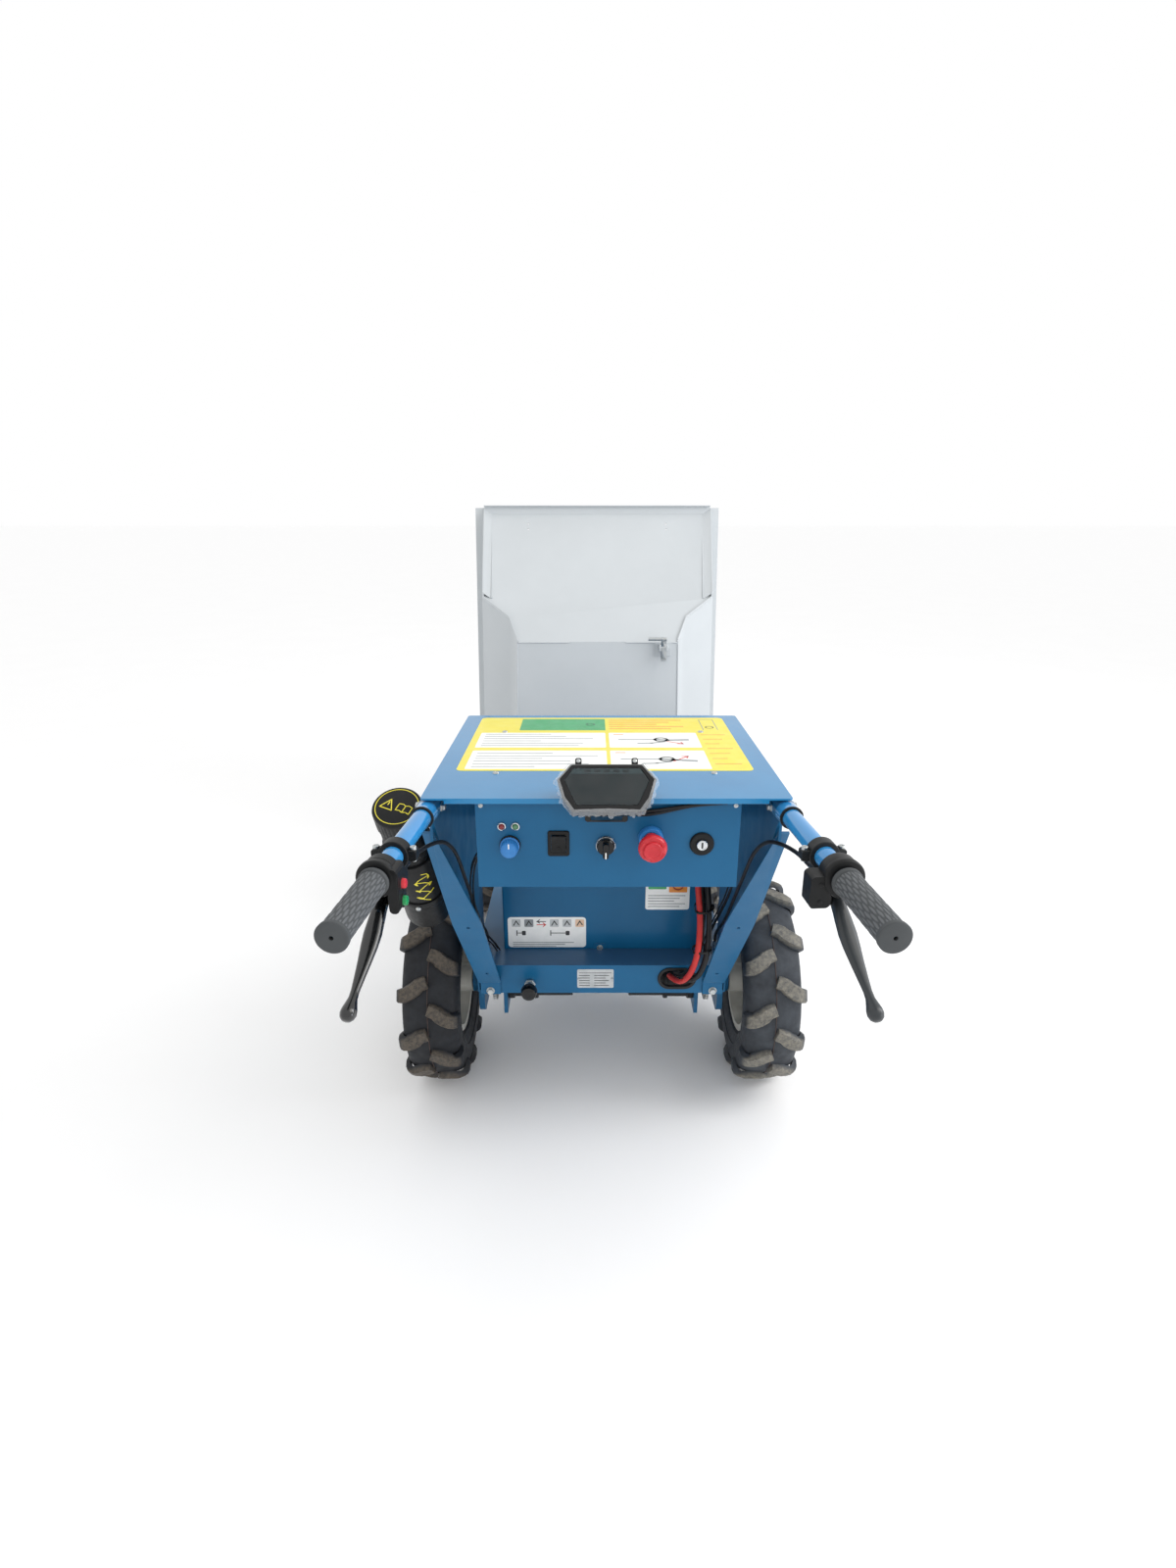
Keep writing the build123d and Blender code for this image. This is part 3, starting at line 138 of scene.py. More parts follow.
class Coating:
    """A material under construction, with the surface effects that the finishes share."""

    def __init__(self, name: str) -> None:
        """Starts the material from a bare shader on Object coordinates."""
        self.material = bpy.data.materials.new(name)
        self.material.use_nodes = True
        self.tree = self.material.node_tree
        self.shader = self.tree.nodes["Principled BSDF"]
        self.place = add_node(self.tree, "ShaderNodeTexCoord").outputs["Object"]
        self.normal: bpy.types.NodeSocket | None = None

    def link(self, socket: bpy.types.NodeSocket, name: str) -> None:
        """Joins an output to one of the shader's inputs."""
        self.tree.links.new(socket, self.shader.inputs[name])

    def mottled(self, colour, tone, grain_mm: float, contrast: float = 0.3) -> bpy.types.NodeSocket:
        """Two close colours in soft patches.

        Args:
            colour: hex colour or a linked colour.
            tone: the second one.
            grain_mm: size of a patch.
            contrast: width of the change between them, from 0 to 1.

        Returns:
            The colour's socket.
        """
        grain = add_node(self.tree, "ShaderNodeTexNoise", {"Vector": self.place, "Scale": 1 / (grain_mm * MM),
                                                           "Detail": 4.0, "Roughness": 0.6})
        share = add_node(self.tree, "ShaderNodeMapRange", {"Value": grain.outputs["Fac"],
                                                           "From Min": 0.5 - contrast / 2,
                                                           "From Max": 0.5 + contrast / 2})
        return self.mixed(share.outputs["Result"], colour, tone)

    def mixed(self, share: bpy.types.NodeSocket, colour, tone) -> bpy.types.NodeSocket:
        """Returns one colour painted over another where share is 1."""
        ends = [linear(c) if isinstance(c, str) else c for c in (colour, tone)]
        mix = add_node(self.tree, "ShaderNodeMix", {0: share, MIX_A: ends[0], MIX_B: ends[1]}, data_type="RGBA")
        return mix.outputs[MIX_OUT]

    def uneven_gloss(self, low: float, high: float, grain_mm: float) -> None:
        """Lets the roughness wander between two values."""
        grain = add_node(self.tree, "ShaderNodeTexNoise", {"Vector": self.place, "Scale": 1 / (grain_mm * MM),
                                                           "Detail": 5.0})
        gloss = add_node(self.tree, "ShaderNodeMapRange", {"Value": grain.outputs["Fac"], "From Min": 0.3,
                                                           "From Max": 0.7, "To Min": low, "To Max": high})
        self.link(gloss.outputs["Result"], "Roughness")

    def relief(self, grain_mm: float, depth_mm: float, strength: float = 1.0) -> None:
        """Adds a fine grain to the surface's bump."""
        grain = add_node(self.tree, "ShaderNodeTexNoise", {"Vector": self.place, "Scale": 1 / (grain_mm * MM),
                                                           "Detail": 2.0})
        inputs = {"Height": grain.outputs["Fac"], "Distance": depth_mm * MM, "Strength": strength}
        if self.normal:
            inputs["Normal"] = self.normal
        self.normal = add_node(self.tree, "ShaderNodeBump", inputs).outputs["Normal"]
        self.link(self.normal, "Normal")


@dataclass(frozen=True)
class Finish:
    """Base of the finishes: two close colours in soft patches, a wandering gloss and a fine grain."""

    name: str
    colour: str
    tone: str
    gloss: tuple[float, float] = (0.38, 0.5)
    patches: ClassVar[tuple[float, float]] = (12, 0.3)      # their size in mm and their contrast
    gloss_mm: ClassVar[float] = 9

    def material(self) -> bpy.types.Material:
        """Returns the material, made on first use."""
        return bpy.data.materials.get(self.name) or self.make()

    def base_colour(self, coating: Coating) -> bpy.types.NodeSocket:
        """Returns the colour's socket."""
        return coating.mottled(self.colour, self.tone, *self.patches)

    def grain(self) -> tuple[float, float]:
        """Returns the size and depth of the surface's grain, in millimetres."""
        raise NotImplementedError

    def constants(self) -> dict[str, float]:
        """Returns what is the same all over, by the name of its socket."""
        raise NotImplementedError

    def make(self) -> bpy.types.Material:
        """Builds the material."""
        coating = Coating(self.name)
        coating.link(self.base_colour(coating), "Base Color")
        coating.uneven_gloss(*self.gloss, self.gloss_mm)
        size_mm, depth_mm = self.grain()
        if depth_mm:
            coating.relief(size_mm, depth_mm)
        for name, value in self.constants().items():
            coating.shader.inputs[name].default_value = value
        return coating.material


@dataclass(frozen=True)
class PowderCoat(Finish):
    """Sprayed and baked powder on steel: an even colour, a soft orange peel and a clear gloss over it.

    A pale tint lies thinly on faces that look up.
    """

    gloss: tuple[float, float] = (0.32, 0.42)
    coat: float = 0.12
    sheen: float = 0.22
    peel_mm: float = 3.0
    peel_depth_mm: float = 0.05
    upward_tint: str = ""
    patches: ClassVar[tuple[float, float]] = (90, 0.3)
    gloss_mm: ClassVar[float] = 40

    def base_colour(self, coating: Coating) -> bpy.types.NodeSocket:
        """Returns the paint's colour, tinted paler on faces that look up."""
        colour = super().base_colour(coating)
        if not self.upward_tint:
            return colour
        up = add_node(coating.tree, "ShaderNodeSeparateXYZ",
                      {0: add_node(coating.tree, "ShaderNodeNewGeometry").outputs["Normal"]})
        lying = add_node(coating.tree, "ShaderNodeMapRange", {"Value": up.outputs["Z"], "From Min": 0.4,
                                                              "From Max": 1.0, "To Max": 0.16})
        return coating.mixed(lying.outputs["Result"], colour, self.upward_tint)

    def grain(self) -> tuple[float, float]:
        """Returns the orange peel's size and depth."""
        return self.peel_mm, self.peel_depth_mm

    def constants(self) -> dict[str, float]:
        """Returns the clear gloss over the paint."""
        return {"Coat Weight": self.coat, "Coat Roughness": 0.06, "Specular IOR Level": self.sheen, "IOR": 1.5}


@dataclass(frozen=True)
class Plating(Finish):
    """Bright zinc or chrome on steel: metal with a faint cloudy bloom and handling marks."""

    gloss: tuple[float, float] = (0.24, 0.42)
    cloud_mm: float = 6.0

    @property
    def patches(self) -> tuple[float, float]:
        """The clouds' size and contrast."""
        return self.cloud_mm, 0.4

    @property
    def gloss_mm(self) -> float:
        """The handling marks' size."""
        return self.cloud_mm

    def grain(self) -> tuple[float, float]:
        """Returns the crystals' size and depth."""
        return 0.8, 0.02

    def constants(self) -> dict[str, float]:
        """Returns that it is a metal."""
        return {"Metallic": 1.0}


@dataclass(frozen=True)
class MouldedPlastic(Finish):
    """ABS or nylon from a tool with a spark-eroded texture: fine grain, low sheen."""

    grain_mm: float = 1.1
    coat: float = 0.0
    sheen: float = 0.25

    def grain(self) -> tuple[float, float]:
        """Returns the tool's texture."""
        return self.grain_mm, 0.03

    def constants(self) -> dict[str, float]:
        """Returns the plastic's index and gloss."""
        return {"IOR": 1.53, "Specular IOR Level": self.sheen, "Coat Weight": self.coat, "Coat Roughness": 0.08}


@dataclass(frozen=True)
class Rubber(Finish):
    """Cured black rubber: dull, with a grey bloom and the grain of its mould. On the tyres the lighter grey tone is
    partly painted sheen.

    A relief tint colours the raised parts that the mesh's relief attribute marks.
    """

    gloss: tuple[float, float] = (0.5, 0.68)
    grain_mm: float = 2.0
    relief_tint: str = ""
    patches: ClassVar[tuple[float, float]] = (22, 0.5)
    gloss_mm: ClassVar[float] = 14

    def base_colour(self, coating: Coating) -> bpy.types.NodeSocket:
        """Returns the rubber's colour with its raised parts tinted."""
        colour = super().base_colour(coating)
        if not self.relief_tint:
            return colour
        raised = add_node(coating.tree, "ShaderNodeAttribute", attribute_name="relief")
        return coating.mixed(raised.outputs["Fac"], colour, self.relief_tint)

    def grain(self) -> tuple[float, float]:
        """Returns the mould's texture."""
        return self.grain_mm, 0.06

    def constants(self) -> dict[str, float]:
        """Returns the rubber's index and gloss."""
        return {"IOR": 1.52, "Specular IOR Level": 0.25}


@dataclass(frozen=True)
class TreadRubber(Finish):
    """Tyre rubber whose bar tops are scuffed to a brownish grey above a given radius from the axle."""

    gloss: tuple[float, float] = (0.46, 0.66)
    scuffed: str = ""
    axle: tuple[float, float] = (0.0, 0.0)
    worn_from: float = 194.0
    worn_to: float = 202.5
    patches: ClassVar[tuple[float, float]] = (26, 0.5)
    gloss_mm: ClassVar[float] = 18

    def base_colour(self, coating: Coating) -> bpy.types.NodeSocket:
        """Returns the rubber's colour, scuffed by its distance from the axle."""
        tree = coating.tree
        about = add_node(tree, "ShaderNodeMapping", {"Vector": coating.place, "Location": -Site.at((0, *self.axle))})
        flat = add_node(tree, "ShaderNodeVectorMath", {0: about.outputs[0], 1: (0, 1, 1)}, operation="MULTIPLY")
        radius = add_node(tree, "ShaderNodeVectorMath", {0: flat.outputs[0]}, operation="LENGTH")
        worn = add_node(tree, "ShaderNodeMapRange", {"Value": radius.outputs["Value"],
                                                     "From Min": self.worn_from * MM, "From Max": self.worn_to * MM})
        grit = add_node(tree, "ShaderNodeTexNoise", {"Vector": coating.place, "Scale": 1 / (7 * MM),
                                                     "Detail": 6.0, "Roughness": 0.7})
        patches = add_node(tree, "ShaderNodeMapRange", {"Value": grit.outputs["Fac"], "From Min": 0.25,
                                                        "From Max": 0.6})
        share = add_node(tree, "ShaderNodeMath", {0: worn.outputs["Result"], 1: patches.outputs["Result"]},
                         operation="MULTIPLY")
        return coating.mixed(share.outputs[0], super().base_colour(coating), self.scuffed)

    def grain(self) -> tuple[float, float]:
        """Returns the size and depth of the scuffs."""
        return 2.6, 0.09

    def constants(self) -> dict[str, float]:
        """Returns the rubber's index and gloss."""
        return {"IOR": 1.52, "Specular IOR Level": 0.3}


@dataclass(frozen=True)
class Print(Finish):
    """Ink on vinyl film: flat colour, a slight satin and a faint screen-print mottle."""

    gloss: tuple[float, float] = (0.34, 0.46)
    patches: ClassVar[tuple[float, float]] = (18, 0.3)
    gloss_mm: ClassVar[float] = 20

    def grain(self) -> tuple[float, float]:
        """Returns the film's ripple."""
        return 5.0, 0.03

    def constants(self) -> dict[str, float]:
        """Returns the film's satin."""
        return {"Coat Weight": 0.3, "Coat Roughness": 0.12, "IOR": 1.5}


@dataclass(frozen=True)
class Clear(Finish):
    """Clear plastic: display glass or wrapping film, with a smeared gloss."""

    gloss: tuple[float, float] = (0.05, 0.16)
    alpha: float = 0.1
    crease_depth_mm: float = 0.0
    patches: ClassVar[tuple[float, float]] = (30, 0.9)
    gloss_mm: ClassVar[float] = 12

    def grain(self) -> tuple[float, float]:
        """Returns the creases' size and depth."""
        return 9.0, self.crease_depth_mm

    def constants(self) -> dict[str, float]:
        """Returns how clear it is."""
        return {"Alpha": self.alpha, "IOR": 1.49, "Coat Roughness": 0.05}


BLUE = PowderCoat("blue polyester powder coat", "#145b85", "#17608b", upward_tint="#9db4c8")
BLUE_GLOSS = PowderCoat("blue powder coat, high gloss", "#1c79ad", "#217fb3", (0.14, 0.2), 0.35, 0.35, 4.0, 0.03)
# The same blue made a touch darker: painted shade for the console sheets and the battery box.
BLUE_PAINTED_SHADE = PowderCoat("blue powder coat, shaded sheet", "#0d5b86", "#105f8b", (0.3, 0.4))
SKIP_WHITE = PowderCoat("off-white powder coat", "#c3c8cb", "#c1c6c9", (0.34, 0.46), 0.2, 0.3, upward_tint="#c9cbca")
HANDLE_BLUE = PowderCoat("light blue enamel on tube", "#2f86c4", "#358cc9", (0.12, 0.2), 1.0, 0.5, 5.0, 0.03)
RIM_SILVER = PowderCoat("silver-cream rim enamel", "#bdbbb2", "#aeada6", (0.36, 0.5), 0.2, 0.4)
MOTOR_BLACK = PowderCoat("black motor enamel", "#141517", "#1b1d20", (0.4, 0.52))
ZINC = Plating("bright zinc plate", "#c9cbc8", "#aeb4b8")
CHROME = Plating("chrome plate", "#dfe2e4", "#c8cdd1", (0.08, 0.16), 10)
BLACK = MouldedPlastic("black moulded nylon", "#101112", "#161718")
BLACK_GLOSS = MouldedPlastic("black gloss ABS", "#090a0b", "#0d0e0f", (0.12, 0.2), 3.0, 0.25, 0.25)
DARK_GREY = MouldedPlastic("charcoal ABS", "#1d1f20", "#232526")
RED = MouldedPlastic("signal red plastic", "#c0202c", "#cc2a35", (0.26, 0.36), 2.0, 0.4)
LENS_RED = MouldedPlastic("unlit red lens", "#7c2428", "#842a2d", (0.12, 0.2), 2.0, 0.6)
LENS_GREEN = MouldedPlastic("unlit green lens", "#4c7a55", "#52805b", (0.12, 0.2), 2.0, 0.6)
GREEN = MouldedPlastic("signal green plastic", "#0f8a4a", "#159653", (0.26, 0.36), 2.0, 0.4)
KNOB_BLUE = MouldedPlastic("mid-blue knob plastic", "#2c75b8", "#357ec1", (0.28, 0.38), 1.5, 0.3)
GRIP = Rubber("grip rubber", "#46494b", "#4b4e50", (0.5, 0.64), 1.2, "#64676a")
STOP = Rubber("buffer rubber", "#1c1c1d", "#2b2b2b")
SHEATH = Rubber("black cable sheath", "#141416", "#232427", (0.34, 0.48), 3.0)
SHEATH_RED = Rubber("red cable sheath", "#b62a2a", "#c43733", (0.34, 0.46), 3.0)
LEVER_GLOSS = PowderCoat("black gloss lever enamel", "#0a0b0c", "#101112", (0.12, 0.2), 0.8, 0.4)
LEVER_MATT = PowderCoat("dark grey lever enamel", "#2c3033", "#33373a", (0.34, 0.44), 0.25, 0.35)
SCREEN = MouldedPlastic("unlit display", "#10181a", "#131c1e", (0.1, 0.16), 30, 0.0, 0.12)
SCREEN_STRIP = MouldedPlastic("display top strip", "#2b3b3e", "#263538", (0.1, 0.16), 30, 0.0, 0.12)
FILM = Clear("creased clear film", "#e9edef", "#f4f6f7", alpha=0.13, crease_depth_mm=1.2)
GLASS = Clear("display glass", "#8d9a9e", "#f4f6f7", alpha=0.03)
YELLOW_INK = Print("yellow label vinyl", "#e9da30", "#ecdf40")
MOULD_LINE = Rubber("tyre mould line", "#4a3a36", "#5a4a44")
PALE_INK = Print("white label vinyl", "#eef0ee", "#f6f7f5")
GREY_INK = Print("grey print", "#7b8387", "#868d91")
PALE_GREY = Print("pale grey print", "#b9bdbf", "#c2c6c8")
PEACH = Print("pale orange print", "#e3bfa0", "#e8c8ac")
DARK_INK = Print("black print", "#26282a", "#303234")
RED_INK = Print("red print", "#d2372c", "#da4336")
GREEN_INK = Print("green print", "#1f9a58", "#27a361")
ORANGE_INK = Print("orange print", "#e98a2b", "#ee9538")
ALUMINIUM = Plating("etched aluminium plate", "#c4c7c8", "#b2b6b8", (0.34, 0.5), 14)


# ---- shapes


def placed(origin: Sequence[float], x: Sequence[float] = (1, 0, 0), z: Sequence[float] = (0, 0, 1)) -> Matrix:
    """Sets up a local frame.

    Args:
        origin: where it stands.
        x: its x direction.
        z: its z direction.

    Returns:
        The frame's matrix.
    """
    across, out = Vector(x).normalized(), Vector(z).normalized()
    rows = Matrix((across, out.cross(across), out)).transposed().to_4x4()
    return Matrix.Translation(origin) @ rows


def rearward(*origin: float) -> Matrix:
    """Returns the local frame of a face that looks back: x to the right, y up, z out of it."""
    return placed(origin, (1, 0, 0), (0, -1, 0))


def hexagon(radius: float) -> list[tuple[float, float]]:
    """Returns the corners of a hexagon."""
    return [(radius * cos(radians(60 * i)), radius * sin(radians(60 * i))) for i in range(6)]


def rounded(x: tuple[float, float], y: tuple[float, float], radius: float, steps: int = 5) -> list:
    """Draws a rectangle with round corners.

    Args:
        x: left and right limits.
        y: lower and upper limits.
        radius: radius of the corners.
        steps: edges in each corner.

    Returns:
        The outline's points, in turn.
    """
    points = []
    for cx, cy, start in ((x[1] - radius, y[1] - radius, 0), (x[0] + radius, y[1] - radius, 90),
                          (x[0] + radius, y[0] + radius, 180), (x[1] - radius, y[0] + radius, 270)):
        for i in range(steps + 1):
            turn = radians(start + 90 * i / steps)
            points.append((cx + radius * cos(turn), cy + radius * sin(turn)))
    return points


def smooth_line(points: Sequence) -> list[Vector]:
    """Smooths a row of points.

    Args:
        points: the curve's control points.

    Returns:
        Points along the curve.
    """
    curve = bpy.data.curves.new("line", "CURVE")
    curve.dimensions = "3D"
    spline = curve.splines.new("NURBS")
    spline.points.add(len(points) - 1)
    for slot, point in zip(spline.points, points):
        slot.co = (*point, 1)
    spline.order_u, spline.use_endpoint_u, spline.resolution_u = 3, True, 8
    holder = bpy.data.objects.new("line", curve)
    mesh = bpy.data.meshes.new_from_object(holder)
    line = [v.co.copy() for v in mesh.vertices]
    for data, item in ((bpy.data.objects, holder), (bpy.data.curves, curve), (bpy.data.meshes, mesh)):
        data.remove(item)
    return line


class Shape:
    """A mesh under construction, in millimetres about the rear axle."""

    def __init__(self) -> None:
        """Starts with nothing."""
        self.bm = bmesh.new()

    def skin(self, rings: Sequence[Sequence], ink: int = 0, closed: bool = False) -> None:
        """Skins a row of rings of points.

        Args:
            rings: the rings, all of one count, or of one point for a tip.
            ink: which of the piece's finishes the faces get.
            closed: joins the last ring to the first.
        """
        made = [[self.bm.verts.new(p) for p in ring] for ring in rings]
        pairs = list(zip(made, made[1:])) + ([(made[-1], made[0])] if closed else [])
        faces = []
        for a, b in pairs:
            count = max(len(a), len(b))
            for i in range(count):
                j = (i + 1) % count
                loop = list(dict.fromkeys((a[i % len(a)], a[j % len(a)], b[j % len(b)], b[i % len(b)])))
                if len(loop) > 2:
                    faces.append(self.bm.faces.new(loop))
        if not closed:
            faces += [self.bm.faces.new(ring) for ring in (made[0], made[-1]) if len(ring) > 2]
        for face in faces:
            face.material_index = ink

    def turned(self, profile: Outline, place: Matrix, ink: int = 0, steps: int = 48,
               closed: bool = False, flutes: int = 0, depth: float = 0.0) -> None:
        """Turns a profile about the local z axis.

        Args:
            profile: radius and height of each point.
            place: the local frame.
            ink: which of the piece's finishes the faces get.
            steps: edges round the axis.
            closed: joins the profile's end to its start, as in a ring.
            flutes: how many flutes are cut along it.
            depth: their depth.
        """
        rings = []
        for radius, height in profile:
            if radius <= 0:
                rings.append([place @ Vector((0, 0, height))])
                continue
            ring = []
            for i in range(steps):
                turn = 2 * pi * i / steps
                r = radius - depth * max(0.0, cos(flutes * turn)) ** 2 if flutes else radius
                ring.append(place @ Vector((r * cos(turn), r * sin(turn), height)))
            rings.append(ring)
        self.skin(rings, ink, closed)

    def loft(self, levels: Iterable[tuple[Sequence, float]], place: Matrix, ink: int = 0,
             closed: bool = False) -> None:
        """Skins outlines in the local plane, each at its own height."""
        self.skin([[place @ Vector((x, y, z)) for x, y in outline] for outline, z in levels], ink, closed)

    def prism(self, outline: Outline, z: tuple[float, float], place: Matrix,
              ink: int = 0) -> None:
        """Raises an outline in the local plane from one height to another."""
        self.loft([(outline, h) for h in z], place, ink)

    def block(self, x: tuple, y: tuple, z: tuple, place: Matrix = Matrix(), ink: int = 0) -> None:
        """Adds a block between pairs of limits."""
        self.prism([(x[0], y[0]), (x[1], y[0]), (x[1], y[1]), (x[0], y[1])], z, place, ink)

    def stroke(self, points: Outline, width: float, z: tuple[float, float],
               place: Matrix, ink: int = 0) -> None:
        """Draws a line in the local plane.

        Args:
            points: its corners.
            width: its width.
            z: the heights that it lies between.
            place: the local frame.
            ink: which of the piece's finishes the faces get.
        """
        for (ax, ay), (bx, by) in zip(points, points[1:]):
            way = Vector((bx - ax, by - ay)).normalized() * width / 2
            side = Vector((-way.y, way.x))
            corners = [(ax - way.x - side.x, ay - way.y - side.y), (bx + way.x - side.x, by + way.y - side.y),
                       (bx + way.x + side.x, by + way.y + side.y), (ax - way.x + side.x, ay - way.y + side.y)]
            self.prism(corners, z, place, ink)

    def tube(self, line: Sequence[Vector], radius: float, ink: int = 0, steps: int = 14,
             ripple: float = 0.0) -> None:
        """Runs a round bar along a line.

        Args:
            line: the line's points.
            radius: the bar's radius.
            ink: which of the piece's finishes the faces get.
            steps: edges round the bar.
            ripple: how far every other ring swells, as a weld bead's does.
        """
        points = [Vector(p) for p in line]
        across = (points[1] - points[0]).orthogonal().normalized()
        rings = []
        for i, point in enumerate(points):
            way = (points[min(i + 1, len(points) - 1)] - points[max(i - 1, 0)]).normalized()
            across = (across - way * across.dot(way)).normalized()
            up = way.cross(across)
            r = radius + (ripple if i % 2 else 0.0)
            rings.append([point + (across * cos(t) + up * sin(t)) * r
                          for t in (2 * pi * k / steps for k in range(steps))])
        self.skin(rings, ink)

    def mesh(self, name: str, metres: bool = True) -> bpy.types.Mesh:
        """Closes the shape.

        Args:
            name: the mesh's name.
            metres: places the mesh in the frame; a template only changes its unit.

        Returns:
            The mesh, with outward faces.
        """
        bmesh.ops.remove_doubles(self.bm, verts=self.bm.verts, dist=1e-4)
        bmesh.ops.recalc_face_normals(self.bm, faces=self.bm.faces)
        for vert in self.bm.verts:
            vert.co = Site.at(vert.co) if metres else vert.co * MM
        made = bpy.data.meshes.new(name)
        self.bm.to_mesh(made)
        self.bm.free()
        return made

    def piece(self, name: str, slot: str, finishes: Sequence[Finish], bevel: float = 0.0,
              replaces: Iterable[str] = (), body: str = "chassis") -> None:
        """Makes a piece of the shape.

        Args:
            name: the piece's name.
            slot: name of a material slot for it; not used.
            finishes: one for each ink of its faces.
            bevel: width of the rounding of its edges, in millimetres.
            replaces: CAD nodes that it stands for.
            body: CAD body that it moves with.
        """
        finished(self.mesh(name), name, body, finishes, bevel, replaces)


def finished(mesh: bpy.types.Mesh, name: str, body: str, finishes: Sequence[Finish],
             bevel: float = 0.0, replaces: Iterable[str] = ()) -> None:
    """Makes a piece of a mesh.

    Args:
        mesh: the mesh, in place.
        name: the piece's name.
        body: CAD body that it moves with.
        finishes: one for each material number on its faces.
        bevel: width of the rounding of its edges, in millimetres.
        replaces: CAD nodes that it stands for.
    """
    for finish in finishes:
        mesh.materials.append(finish.material())
    mesh.shade_smooth()
    mesh.set_sharp_from_angle(angle=SHARP)
    piece = bpy.data.objects.new(name, mesh)
    bpy.context.scene.collection.objects.link(piece)
    if bevel:
        edge = piece.modifiers.new("edges", "BEVEL")
        edge.width, edge.segments, edge.limit_method, edge.angle_limit = bevel * MM, 2, "ANGLE", SHARP
        edge.harden_normals = True
    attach(piece, body)
    if replaces:
        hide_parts(*replaces)
    LOG.info("%-24s rides %-18s %6d faces", name, body, len(mesh.polygons))


def refined(node: str, finish: Finish, bevel: float = 0.8) -> None:
    """Makes a cleaned and bevelled copy of a CAD node that stands for it.

    Args:
        node: the node's name.
        finish: its finish.
        bevel: width of the rounding of its edges, in millimetres.
    """
    source = frame["nodes"][node]
    bm = bmesh.new()
    bm.from_mesh(source.data)
    bmesh.ops.remove_doubles(bm, verts=bm.verts, dist=2e-6)
    bmesh.ops.dissolve_limit(bm, angle_limit=radians(0.6), verts=bm.verts, edges=bm.edges)
    mesh = bpy.data.meshes.new(node)
    bm.to_mesh(mesh)
    bm.free()
    for face in mesh.polygons:
        face.material_index = 0
    finished(mesh, f"{node}_finished", source["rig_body"], [finish], bevel, [node])


class Copies:
    """Geometry Nodes tree that puts copies of one piece on marks, and turns the result into a piece."""

    def __init__(self) -> None:
        """Builds the tree."""
        tree = self.tree = bpy.data.node_groups.new("copies on marks", "GeometryNodeTree")
        for name, kind in (("Marks", "Geometry"), ("Piece", "Object"), ("Size", "Float"), ("Finish", "Material")):
            tree.interface.new_socket(name, in_out="INPUT", socket_type=f"NodeSocket{kind}")
        tree.interface.new_socket("Copies", in_out="OUTPUT", socket_type="NodeSocketGeometry")
        given = add_node(tree, "NodeGroupInput").outputs
        turn, size = (add_node(tree, "GeometryNodeInputNamedAttribute", {"Name": name}, data_type="FLOAT_VECTOR")
                      for name in ("turn", "size"))
        facing = add_node(tree, "FunctionNodeEulerToRotation", {0: turn.outputs[0]})
        scale = add_node(tree, "ShaderNodeVectorMath", {0: size.outputs[0], "Scale": given["Size"]},
                         operation="SCALE")
        piece = add_node(tree, "GeometryNodeObjectInfo", {"Object": given["Piece"]})
        spread = add_node(tree, "GeometryNodeInstanceOnPoints", {
            "Points": given["Marks"], "Instance": piece.outputs["Geometry"], "Rotation": facing.outputs[0],
            "Scale": scale.outputs[0]})
        real = add_node(tree, "GeometryNodeRealizeInstances", {0: spread.outputs[0]})
        done = add_node(tree, "GeometryNodeSetMaterial", {"Geometry": real.outputs[0], "Material": given["Finish"]})
        add_node(tree, "NodeGroupOutput", {0: done.outputs[0]})

    def spread(self, name: str, shape: Shape, marks: Sequence[Matrix], body: str, slot: str, finish: Finish,
               bevel: float = 0.0, replaces: Iterable[str] = ()) -> None:
        """Puts copies of a shape on marks.

        Args:
            name: the piece's name.
            shape: what is repeated, about its own origin.
            marks: where each copy stands, as matrices in millimetres about the rear axle.
            body: CAD body that the copies move with.
            slot: name of a material slot for them; not used.
            finish: their finish.
            bevel: width of the rounding of their edges, in millimetres.
            replaces: CAD nodes that the piece stands for.
        """
        template = bpy.data.objects.new("template", shape.mesh("template", metres=False))
        host_mesh = bpy.data.meshes.new("marks")
        host_mesh.from_pydata([Site.at(m.translation) for m in marks], [], [])
        parts = [m.decompose() for m in marks]
        for key, values in (("turn", [p[1].to_euler() for p in parts]), ("size", [p[2] for p in parts])):
            layer = host_mesh.attributes.new(key, "FLOAT_VECTOR", "POINT")
            for item, value in zip(layer.data, values):
                item.vector = value
        host = bpy.data.objects.new("marks", host_mesh)
        for item in (template, host):
            bpy.context.scene.collection.objects.link(item)
        rule = host.modifiers.new("copies", "NODES")
        rule.node_group = self.tree
        for socket in self.tree.interface.items_tree:
            value = {"Piece": template, "Size": 1.0, "Finish": finish.material()}.get(socket.name)
            if value is not None:
                rule[socket.identifier] = value
        graph = bpy.context.evaluated_depsgraph_get()
        result = bpy.data.meshes.new_from_object(host.evaluated_get(graph), depsgraph=graph)
        host.modifiers.remove(rule)
        for item in (template, host):
            bpy.data.objects.remove(item)
        bm = bmesh.new()
        bm.from_mesh(result)
        bmesh.ops.recalc_face_normals(bm, faces=bm.faces)
        bm.to_mesh(result)
        bm.free()
        result.name = name
        result.materials.clear()
        finished(result, name, body, [finish], bevel, replaces)


COPIES = Copies()


# ---- wheels


